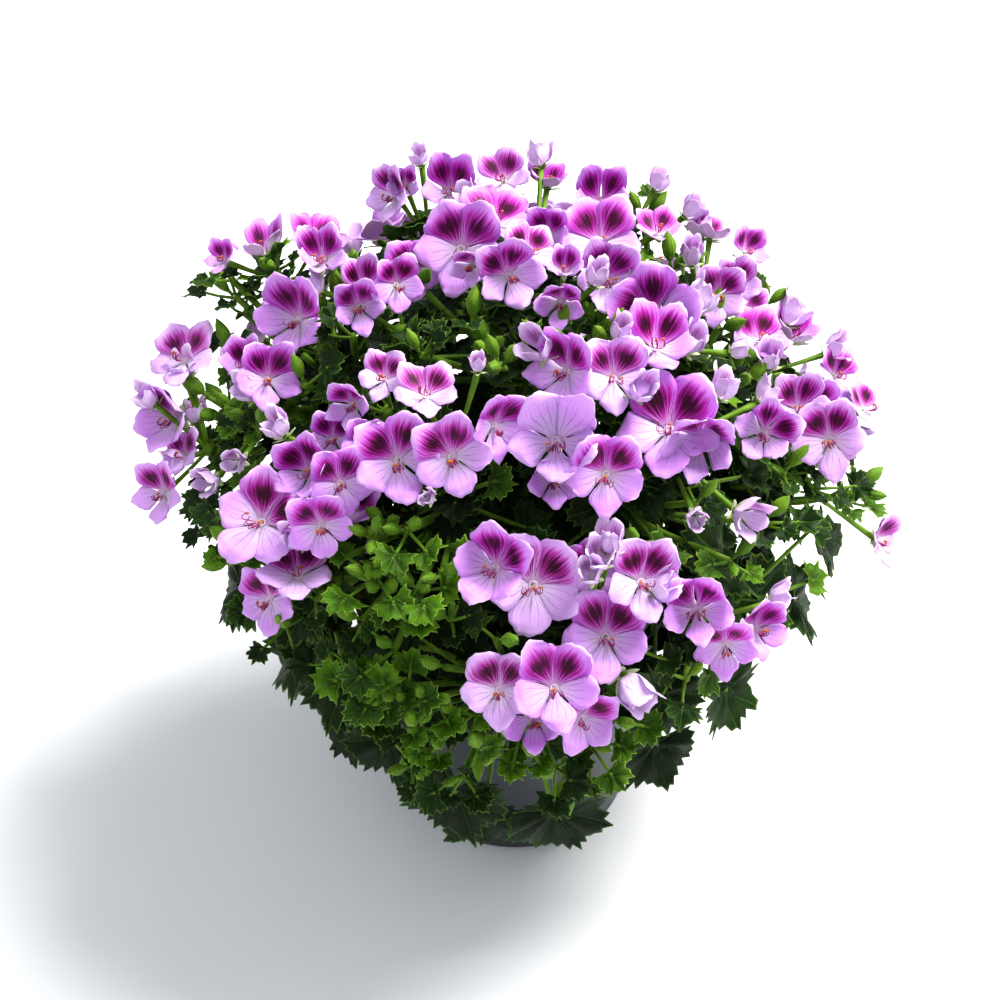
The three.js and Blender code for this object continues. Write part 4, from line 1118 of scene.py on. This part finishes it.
# ---- Sprays of young leaves, and half-open flowers
def add_spray(green, root, axis, seed, count, radii, darkening, reach=1.25):
    """Small leaves that fan out from a root round an axis, each where there is room for it."""
    base = frame_of(axis, UP + np.array([0.2, 0.1, 0]))
    for j in range(count):
        own = 50 * seed + j
        turn = math.radians(GOLDEN_ANGLE * j + 360 * draw(seed, 131))
        side = turned(base, turn)
        tilt = 0.35 + 0.9 * (j + 0.5) / count + 0.2 * spread(own, 132)
        radius = radii[0] + (radii[1] - radii[0]) * draw(own, 133)
        way = axis * math.cos(tilt) + side * math.sin(tilt)
        f = frame_of(axis * 0.8 - side * 0.35 + UP * 0.35 + three_spreads(own, 134) * 0.3, way)
        for stretch in (1, 1.3, 0.75, 1.6):
            middle = root + way * (radius * reach * stretch + 2)
            points, *_ = leaf_points(f, middle, radius, own, False, 30, 1.4)
            if share_taken(points) < 0.04:
                own_darkening = min(max(darkening + 0.2 * spread(own, 137), 0), 1)
                take(add_leaf(green, f, middle, radius, own, own_darkening, crinkle=1.5), 0)
                joint = middle + f[2] * LEAF_CUP * radius
                line = smooth_line([root, (root + joint) / 2 + side * 0.8, joint], 2)
                add_tube(green, line, [0.7, 0.55, 0.6], 5, GREEN, (draw(own, 138), 0.3, 0.0))
                break


# places in the front view and size of half-open flowers, and places of young tufts with their buds
HALF_OPEN = [
    (763, 398, 0.7), (744, 515, 1.0), (696, 518, 0.7), (630, 685, 1.15), (610, 545, 0.8), (592, 575, 0.7),
    (478, 367, 0.5), (429, 498, 0.5), (238, 462, 0.7), (210, 482, 0.8), (195, 418, 0.7), (180, 460, 0.7),
    (318, 288, 0.7), (692, 258, 0.8), (657, 185, 0.7), (735, 352, 0.6), (852, 435, 0.7), (620, 335, 0.7),
    (150, 400, 0.8), (184, 372, 0.8), (596, 280, 0.7), (540, 160, 0.8), (700, 232, 0.8), (832, 350, 0.8),
    (700, 305, 0.9), (770, 362, 0.8), (690, 345, 0.8), (722, 392, 0.8), (640, 278, 0.7), (690, 212, 0.8),
    (790, 318, 0.9), (640, 392, 0.8), (842, 412, 0.8), (540, 350, 0.9), (280, 430, 0.8), (250, 392, 0.8),
    (300, 540, 0.8), (600, 560, 0.8), (660, 590, 0.8), (775, 600, 0.7), (420, 160, 0.6), (470, 205, 0.8),
]
TUFTS = [
    (500, 360, 3), (610, 340, 3), (722, 322, 2), (748, 378, 2), (222, 408, 3), (250, 412, 2), (236, 548, 2),
    (272, 262, 3), (330, 298, 2), (415, 278, 2), (372, 535, 3), (405, 528, 2), (372, 575, 3), (415, 590, 3),
    (440, 575, 2), (380, 690, 2), (402, 708, 3), (432, 700, 3), (430, 735, 2), (455, 715, 2), (444, 668, 1),
    (340, 662, 0), (392, 650, 1), (478, 752, 2), (520, 738, 2), (556, 772, 1), (590, 745, 2), (612, 722, 2),
    (496, 640, 1), (735, 560, 2), (850, 495, 2), (820, 485, 1), (645, 210, 2), (240, 500, 1), (280, 625, 1),
    (262, 430, 1), (310, 600, 1), (330, 560, 1), (690, 680, 1), (640, 650, 1), (790, 470, 1),
    (700, 500, 1), (676, 262, 3), (560, 330, 2),
    (300, 380, 1), (420, 350, 1), (470, 320, 1), (200, 440, 1), (230, 290, 1), (770, 520, 1), (360, 620, 1),
    (450, 620, 1), (410, 770, 1), (462, 780, 1), (225, 350, 1), (768, 300, 2), (640, 545, 1), (815, 458, 2),
    (226, 272, 0), (238, 306, 0), (262, 285, 0), (350, 330, 0), (300, 350, 0), (215, 520, 0), (190, 470, 0),
]


def add_tuft(green, x, y, count, n):
    place = seen_on_dome(x, y, 0.95)
    outward = unit(place - DOME_CENTRE)
    axis = unit(outward + UP * 0.35 - VIEW_AWAY * 0.35)
    stem = nearest_stem(outward)
    low = along_stem(stem, 0.9)
    line = smooth_line([low, (low + place) / 2 - outward * 4, place - axis * 3], 4)
    add_tube(green, line, [1.3, 1.1, 1.3], 7, GREEN, (draw(n, 141), 0.35, 0.0))
    f = frame_of(axis, VIEW_UP)
    for b in range(count):
        a = math.radians(360 * b / max(count, 1) + 180 * draw(n, 142))
        side = turned(f, a)
        way = unit(axis + side * (0.4 + 0.3 * draw(10 * n + b, 143)))
        add_bud(green, place - axis * 3 + side, way, 0.85 + 0.35 * draw(10 * n + b, 144), 3000 + 10 * n + b,
                0.75 + 0.3 * draw(10 * n + b, 145))
    leaves, darkening = (8, 0.15) if count > 1 else (5, 0.55)
    add_spray(green, place - axis * 4, axis, 700 + n, leaves, (4.6, 8.2), darkening)


def add_half_open(piece, green, x, y, size, hub, n):
    throat = seen_on_dome(x, y, 1.0)
    way = unit(unit(throat - hub) + VIEW_UP * 0.5 - VIEW_AWAY * 0.4 + three_spreads(n, 146) * 0.35)
    add_flower(piece, green, frame_of(way, VIEW_UP), throat, 0.72 * size, 900 + n, hub, 0.35, 0.85,
               1.05 + 0.5 * draw(n, 147))


# ---- The plant
greens = [Piece(f"foliage_{i + 1:02d}", "leaves", [LEAF, GREEN, BARK], [stem_name(i)])
          for i in range(len(STEMS))]
trees = [node_tree(stem_name(i)) for i in range(len(STEMS))]
PALE_FLOWERS = {(4, 0)}

for i, line in enumerate(STEM_LINES):
    smooth = smooth_line(line, 4)
    bumps = 1 + 0.06 * np.sin(np.arange(len(smooth)) * 2.1)
    radii = np.interp(np.linspace(0, 1, len(smooth)), STEM_SHARES, [3.1, 3, 2.7, 2.3, 1.7]) * bumps
    add_tube(greens[i], smooth, radii, 10, BARK, (draw(i, 95), 0.5, 0), 0.6)

half_open_head = [int(np.argmin([np.linalg.norm(seen_on_dome(x, y, 1) - hub) for _, _, hub in HEADS]))
                  for x, y, _ in HALF_OPEN]
for h in range(len(HEADS)):
    flowers, outward, hub = HEADS[h]
    stem = nearest_stem(outward)
    green = greens[stem]
    line = find_stalk(trees[stem], stem, hub, outward, 1.4, 0)
    if line is None:
        line = stalk_line(stem, hub, outward, 0, 0.82, 0)
    smooth = smooth_line(line, 6)
    add_tube(green, smooth, [1.5, 1.3, 1.25, 1.3, 2.3], 8, GREEN, (draw(h, 96), 0.35, 0.0))
    add_hairy_line(green, smooth, 1.3, 60, 100 + h)
    add_revolved(green, hub, outward, [(-1.6, 1.6), (0, 2.5), (1.4, 2.6), (2.6, 2.0), (3.1, 0.9)], 10, GREEN,
                 (draw(h, 97), 0.2, 0.0), ridges=5, depth=0.1)
    tree = node_tree(head_name(h))
    piece = Piece(f"blooms_{h + 1:02d}", "petals", [PETAL, STAMEN], [head_name(h)])
    for n in range(len(flowers)):
        def flower_points(pose):
            f, throat, size = flower_place(h, n, pose)
            return blade_points(f, throat, outline_of(FLOWER_HALF, size))

        pose = best_pose(tree, FLOWER_POSES, flower_points)
        if pose is None:
            continue
        f, throat, size = flower_place(h, n, pose)
        aside = np.cross(np.cross(throat - hub, outward), outward)
        aside = -unit(aside) if len(flowers) > 1 else np.zeros(3)
        root = hub + outward * 1.4 + aside
        seed = 10 * h + n
        blotch = 0.0 if (h, n) in PALE_FLOWERS else 0.86 + 0.14 * draw(seed, 98)
        add_flower(piece, green, f, throat, size, seed, root, blotch, 0.5 * draw(seed, 99) ** 2)
    # bracts round the knob
    for b in range(5):
        a = math.radians(72 * b + 360 * draw(h, 101))
        side = turned(frame_of(outward, UP), a)
        bf = frame_of(outward * 0.6 + side * 0.4, side + outward * 0.3)
        add_leaf(green, bf, hub + side * 3.2 - outward * 0.5, 3.0 + draw(10 * h + b, 102),
                 1000 + 10 * h + b, 0.25, crinkle=0.6)
    for n, (x, y, size) in enumerate(HALF_OPEN):
        if half_open_head[n] == h:
            add_half_open(piece, green, x, y, size, hub + outward * 1.4, n)
    piece.make()

bud_heads = [(seen_on_dome(x, y, BUD_SHARE), count) for x, y, count in FRONT_BUDS]
bud_heads += [(on_dome(azimuth, elevation, BUD_SHARE), count) for azimuth, elevation, count in BACK_BUDS]
for b, (hub, count) in enumerate(bud_heads):
    outward = unit(hub - DOME_CENTRE)
    stem = nearest_stem(outward)
    line = find_stalk(trees[stem], stem, hub, outward, 1.1, 3)
    if line is None:
        continue
    smooth = smooth_line(line, 5)
    add_tube(greens[stem], smooth, [1.25, 1.1, 1.05, 1.1, 1.8], 8, GREEN, (draw(b, 103), 0.3, 0.0))
    add_hairy_line(greens[stem], smooth, 1.1, 50, 200 + b)
    for n in range(count):
        seed = 10 * (b + 1) + n
        first = 47 * (b + 1) + 360 * n / count
        shares = [(share_met(trees[stem], bud_rings(seed, hub, outward, first + turn)), -i)
                  for i, turn in enumerate((0, 20, -20, 40, -40))]
        share, i = max(shares)
        if share < 0.3:
            continue
        add_bud(greens[stem], *bud_points(seed, hub, outward, first + (0, 20, -20, 40, -40)[-i]), seed)

for k, (_, elevation, _, _) in enumerate(LEAVES):
    large = k >= DOME_LEAVES
    green, tree = [both[leaf_place(k, LEAF_POSES[0])["stem"]] for both in (greens, trees)]

    def outline_points(pose):
        leaf = leaf_place(k, pose)
        outline = outline_of(LARGE_LEAF_HALF if large else LEAF_HALF, leaf["size"])
        return blade_points(leaf["frame"], leaf["middle"], outline)

    pose = best_pose(tree, LEAF_POSES, outline_points)
    if pose is None:
        continue
    leaf = leaf_place(k, pose)
    # Lower leaves are darker: they are older, and it paints the shade under the dome
    darkening = 0.85 if elevation < 0 else 0.65 if elevation < 12 else 0.35 + 0.3 * draw(k, 104)
    take(add_leaf(green, leaf["frame"], leaf["middle"], leaf["size"], k, darkening, large=large))
    line = smooth_line(leaf["line"], 4)
    add_tube(green, line, [0.9, 0.95, 1.1], 6, GREEN, (draw(k, 105), 0.45, 0.0))
    add_hairy_line(green, line, 0.95, 24, 300 + k)

for n, (x, y, count) in enumerate(TUFTS):
    stem = nearest_stem(unit(seen_on_dome(x, y, 0.95) - DOME_CENTRE))
    add_tuft(greens[stem], x, y, count, n)
for h, (flowers, outward, hub) in enumerate(HEADS):
    green = greens[nearest_stem(outward)]
    # The deeper spray, of larger leaves, is darker: older, and painted shade in the depth
    add_spray(green, hub - outward * 3, outward, 800 + h, 7, (6.0, 9.5), 0.6)
    add_spray(green, hub - outward * 14, outward, 850 + h, 5, (8.0, 11.4), 0.85)

# Added leaves fill the dome's depth between the placed ones, in five layers
ADDED, TOP_SINE, LOW_ELEVATION = 400, 0.998, -24
# share of the dome, radius and darkening of each layer; the deeper layers are darker, for age and painted
# shade
ADDED_LAYERS = [(0.95, 8.0, 0.12), (0.86, 12.0, 0.4), (0.9, 10.0, 0.25), (0.78, 14.5, 0.7), (0.68, 16.0, 0.7)]
ADDED_POSES = [(shrink, sink, False, swing) for shrink in (1, 0.8, 0.62) for sink in (0, 5, 10, 16)
               for swing in (0, 40, -40)]
POT_CLEARANCE, POT_CLEARANCE_TOP = 64, 60


def free_leaf(seed, large, place):
    """The first of the poses where a leaf has room and stays clear of the pot, and how far it sinks."""
    for pose in ADDED_POSES:
        leaf = leaf_place(seed, pose, place)
        points, *_ = leaf_points(leaf["frame"], leaf["middle"], leaf["size"], seed, large, 30, 1.3)
        nearest = np.hypot(points[:, 0], points[:, 1]).min()
        if points[:, 2].min() < POT_CLEARANCE_TOP and nearest < POT_CLEARANCE:
            continue
        if share_taken(points) < 0.03:
            return leaf, pose[1]
    return None, 0


for k in range(ADDED):
    t = (k + 0.5) / ADDED
    azimuth = k * GOLDEN_ANGLE + 31
    elevation = math.degrees(math.asin((1 - t) * TOP_SINE + t * math.sin(math.radians(LOW_ELEVATION))))
    share, radius, darkening = ADDED_LAYERS[k % len(ADDED_LAYERS)]
    share = (share + 0.03 * spread(k, 111)) * (1 - 0.011 * max(0, 16 - elevation))
    radius *= 1 + 0.2 * spread(k, 112)
    seed, large = 2000 + k, k % 2 == 0
    leaf, sink = free_leaf(seed, large, (azimuth, elevation, share, radius))
    if leaf is None:
        continue
    green = greens[leaf["stem"]]
    # A leaf that sinks deeper, or lies under the dome, gets darker: painted shade
    darkening = max(min(darkening + 0.2 + 0.02 * sink + 0.2 * spread(seed, 113) + (0.25 if elevation < 0 else 0), 1), 0)
    take(add_leaf(green, leaf["frame"], leaf["middle"], leaf["size"], seed, darkening, large=large, crinkle=1.4), 0)
    line = smooth_line([leaf["line"][0], leaf["line"][-1]], 3)
    add_tube(green, line, [0.7, 0.8, 0.9], 5, GREEN, (draw(seed, 105), 0.45, 0.0))

for piece in greens:
    piece.make()


# ---- Crown, soil and pot
crown = Piece("woody_crown", "bark", [BARK], ["crown"])
trunk = [np.array([0, 0, z]) for z in np.linspace(TRUNK_FOOT, CROWN_HEIGHT + 2, 16)]
add_tube(crown, trunk, 6.3 + 0.25 * np.sin(np.arange(16) * 1.7), 20, BARK, (0.5, 0.5, 0), 0.0)
for i, stem in enumerate(STEMS):
    way = branch_direction(stem)
    line = [CROWN_CENTRE + way * t * CROWN_REACH for t in np.linspace(0, 1, 7)]
    add_tube(crown, line, [4.2, 3.7, 3.5, 3.4, 3.5], 12, BARK, (draw(i, 120), 0.5, 0), 0.25)
crown.make()


def soil_height(x, y):
    return SOIL_TOP + 1.3 * np.sin(x * 0.31 + 1) * np.sin(y * 0.27) + 0.7 * np.sin(x * 0.9 + y * 0.7)


soil = Piece("potting_soil", "soil", [SOIL], ["soil"])
bottom = FOOT_DEPTH + FLOOR_THICKNESS + GAP
taper = (POT_TOP_RADIUS - POT_FOOT_RADIUS + POT_WALL) / (POT_HEIGHT - bottom)


def soil_radius(z):
    return POT_FOOT_RADIUS + (z - bottom) * taper - POT_WALL - 1.5 * GAP


SIDES = 96
around = even_angles(SIDES)
rows = []
for r, z in [(0.6, bottom), (soil_radius(bottom) - 1, bottom)] + [(soil_radius(z), z) for z in (30, 60, 88)]:
    rows.append(circle(r, z, around))
for r in np.linspace(soil_radius(SOIL_TOP), TRUNK_RADIUS + GAP, 26):
    x, y = r * np.cos(around), r * np.sin(around)
    grit = 0.5 * np.sin(x * 1.9 + 2 * np.sin(y)) * np.cos(y * 2.3) + 0.3 * np.sin(3.7 * x - 2.9 * y)
    rows.append(np.column_stack([x, y, soil_height(x, y) + grit]))
for z in (80, TRUNK_FOOT - GAP):
    rows.append(circle(TRUNK_RADIUS + GAP, z, around))
soil.add(np.concatenate(rows), [lattice(len(rows), SIDES, True), *end_caps(len(rows), SIDES)], SOIL,
         (0, 0, 0), (0.5, 0.5, 0))
CRUMBS, PERLITE_SHARE = 700, 0.08
rng = np.random.default_rng(7)
G = (1 + 5 ** 0.5) / 2
ICO = np.array([
    (-1, G, 0), (1, G, 0), (-1, -G, 0), (1, -G, 0), (0, -1, G), (0, 1, G),
    (0, -1, -G), (0, 1, -G), (G, 0, -1), (G, 0, 1), (-G, 0, -1), (-G, 0, 1),
])
ICO /= np.linalg.norm(ICO[0])
ICO_FACES = np.array([
    (0, 11, 5), (0, 5, 1), (0, 1, 7), (0, 7, 10), (0, 10, 11), (1, 5, 9), (5, 11, 4), (11, 10, 2), (10, 7, 6),
    (7, 1, 8), (3, 9, 4), (3, 4, 2), (3, 2, 6), (3, 6, 8), (3, 8, 9), (4, 9, 5), (2, 4, 11), (6, 2, 10),
    (8, 6, 7), (9, 8, 1),
])
for _ in range(CRUMBS):
    r = math.sqrt(rng.uniform(0.03, 1)) * (soil_radius(SOIL_TOP) - 2)
    a = rng.uniform(0, 6.283)
    x, y = r * math.cos(a), r * math.sin(a)
    size = rng.uniform(0.5, 1.8)
    lump = ICO * (1 + rng.normal(0, 0.18, (12, 1))) * size * rng.uniform(0.6, 1.2, 3)
    perlite = 1.0 if rng.uniform() < PERLITE_SHARE else 0.0
    soil.add(lump + [x, y, soil_height(x, y) + 0.3 * size], ICO_FACES, SOIL, (0, 0, perlite), (0.5, 0.5, 0))
soil.make()


DRAIN_RADIUS = 3.5
RIM_ROLL = [(0.35, 0.25), (0.9, 0), (2.2, 0), (2.8, 0.3), (3.05, 1)]


def make_pot():
    """A turned shell with a rolled rim, a foot ring and four drain holes cut through its floor."""
    piece = Piece("pot_shell", "pot", [PLASTIC], ["pot"])
    foot, pad = 37, 18
    floor_top = FOOT_DEPTH + FLOOR_THICKNESS
    rim_under, rim_radius = POT_HEIGHT - RIM_DEPTH, POT_TOP_RADIUS + RIM_OVERHANG
    outer = POT_FOOT_RADIUS - 0.6

    def wall(z):
        return outer + (POT_TOP_RADIUS - outer) * z / rim_under

    # radius, height and 1 where the side is mottled
    profile = [
        (0.5, 0, 0), (pad - 0.4, 0, 0), (pad, 0.4, 0), (pad + 1, FOOT_DEPTH, 0), (foot - 1, FOOT_DEPTH, 0),
        (foot, 0.4, 0), (foot + 0.4, 0, 0), (outer - 0.8, 0, 0), (outer - 0.2, 0.3, 0), (wall(1), 1, 0),
    ]
    profile += [(wall(z), z, 0) for z in (4, 6)] + [(wall(6.4) + 0.25, 6.6, 0)]
    profile += [(wall(z) + 0.25, z, 1) for z in (7, 20, 35, 50, 65, 80, 92)]
    profile += [
        (wall(93), 93, 0), (POT_TOP_RADIUS, rim_under - 0.5, 0), (POT_TOP_RADIUS + 0.3, rim_under, 0),
        (rim_radius - 0.4, rim_under + 0.6, 0), (rim_radius, rim_under + 1.4, 0), (rim_radius, 101, 0),
        (rim_radius, POT_HEIGHT - 0.9, 0),
    ]
    profile += [(rim_radius - inwards, POT_HEIGHT - below, 0) for inwards, below in RIM_ROLL]
    inner_foot = POT_FOOT_RADIUS - POT_WALL
    inner_top = rim_radius - 3
    for z in (90, 60, 30, floor_top + 1):
        widening = (inner_top - inner_foot) * (z - floor_top) / (POT_HEIGHT - floor_top)
        profile.append((inner_foot + widening, z, 0))
    profile += [(inner_foot - 1, floor_top, 0), (0.5, floor_top, 0)]
    points, shape = [], []
    for r, z, kind in profile:
        points.append(circle(r, z, around))
        level = np.full((SIDES, 2), (z / POT_HEIGHT, kind))
        shape.append(np.column_stack([np.arange(SIDES) / SIDES, level]))
    faces = [lattice(len(profile), SIDES, True), *end_caps(len(profile), SIDES)]
    piece.add(np.concatenate(points), faces, PLASTIC, np.concatenate(shape), (0.5, 0.5, 0))
    made = piece.make()
    cutters = []
    for azimuth in (45, 135, 225, 315):
        cutter_mesh = bpy.data.meshes.new("cutter")
        centre = direction(azimuth, 0) * (pad + foot) / 2
        low, high = [circle(DRAIN_RADIUS, z, even_angles(24)) + centre for z in (-2.0, 3.0 * floor_top)]
        cutter_mesh.from_pydata((np.vstack([low, high]) / 1000).tolist(), [],
                                [face for faces in (lattice(2, 24, True), *end_caps(2, 24))
                                 for face in faces.tolist()])
        cutter = add_object("cutter", cutter_mesh)
        cutters.append(cutter)
        cut = made.modifiers.new("drain", "BOOLEAN")
        cut.operation, cut.solver, cut.object = "DIFFERENCE", "EXACT", cutter
    bpy.context.view_layer.update()
    evaluated = made.evaluated_get(bpy.context.evaluated_depsgraph_get())
    cut_mesh = bpy.data.meshes.new_from_object(evaluated)
    made.modifiers.clear()
    made.data = cut_mesh
    cut_mesh.name = "pot_shell"
    for cutter in cutters:
        bpy.data.objects.remove(cutter)
    return made


make_pot()

# ---- Floor, light and camera
floor_mesh = bpy.data.meshes.new("floor")
floor_mesh.from_pydata([(-6, -6, 0), (6, -6, 0), (6, 6, 0), (-6, 6, 0)], [], [(0, 1, 2, 3)])
floor = add_object("floor", floor_mesh)
floor_look = Look("floor_paper", Specular_IOR_Level=0.1)
paper = floor_look.noise(floor_look.place(), 3.0, 2.0)
floor_mesh.materials.append(floor_look.finish(floor_look.ramp(paper, (0.3, "F4F5F8"), (0.7, "F8F9FB")), 0.9))

world = bpy.data.worlds.new("studio")
bpy.context.scene.world = world
world.use_nodes = True
world.node_tree.nodes["Background"].inputs["Color"].default_value = (0.93, 0.96, 1.0, 1)
world.node_tree.nodes["Background"].inputs["Strength"].default_value = 0.43


def add_light(name, place, target, size, power, colour=(1, 1, 1)):
    data = bpy.data.lights.new(name, "AREA")
    data.shape, data.size, data.energy, data.color = "DISK", size, power, colour
    light = add_object(name, data)
    light.location = place
    light.rotation_euler = (Vector(target) - Vector(place)).to_track_quat("-Z", "Y").to_euler()


add_light("key", (0.92, 0.32, 1.7), (0, 0, 0.1), 1.1, 62, (1.0, 0.985, 0.96))
add_light("fill", (0.2, -1.6, 1.5), (0, 0, 0.12), 1.2, 4, (0.96, 0.98, 1.0))
add_light("soft", (-1.3, 0.2, 1.5), (0, 0, 0.1), 1.6, 8, (0.95, 0.97, 1.0))

camera_data = bpy.data.cameras.new("camera")
camera_data.lens, camera_data.sensor_width = 36 * VIEW_DISTANCE / 1000, 36
camera = add_object("camera", camera_data)
camera.location = EYE / 1000
camera.rotation_euler = (math.radians(90 - EYE_PITCH), 0, 0)
bpy.context.scene.camera = camera
bpy.context.scene.view_settings.view_transform = "Standard"
bpy.context.scene.view_settings.look = "Medium High Contrast"
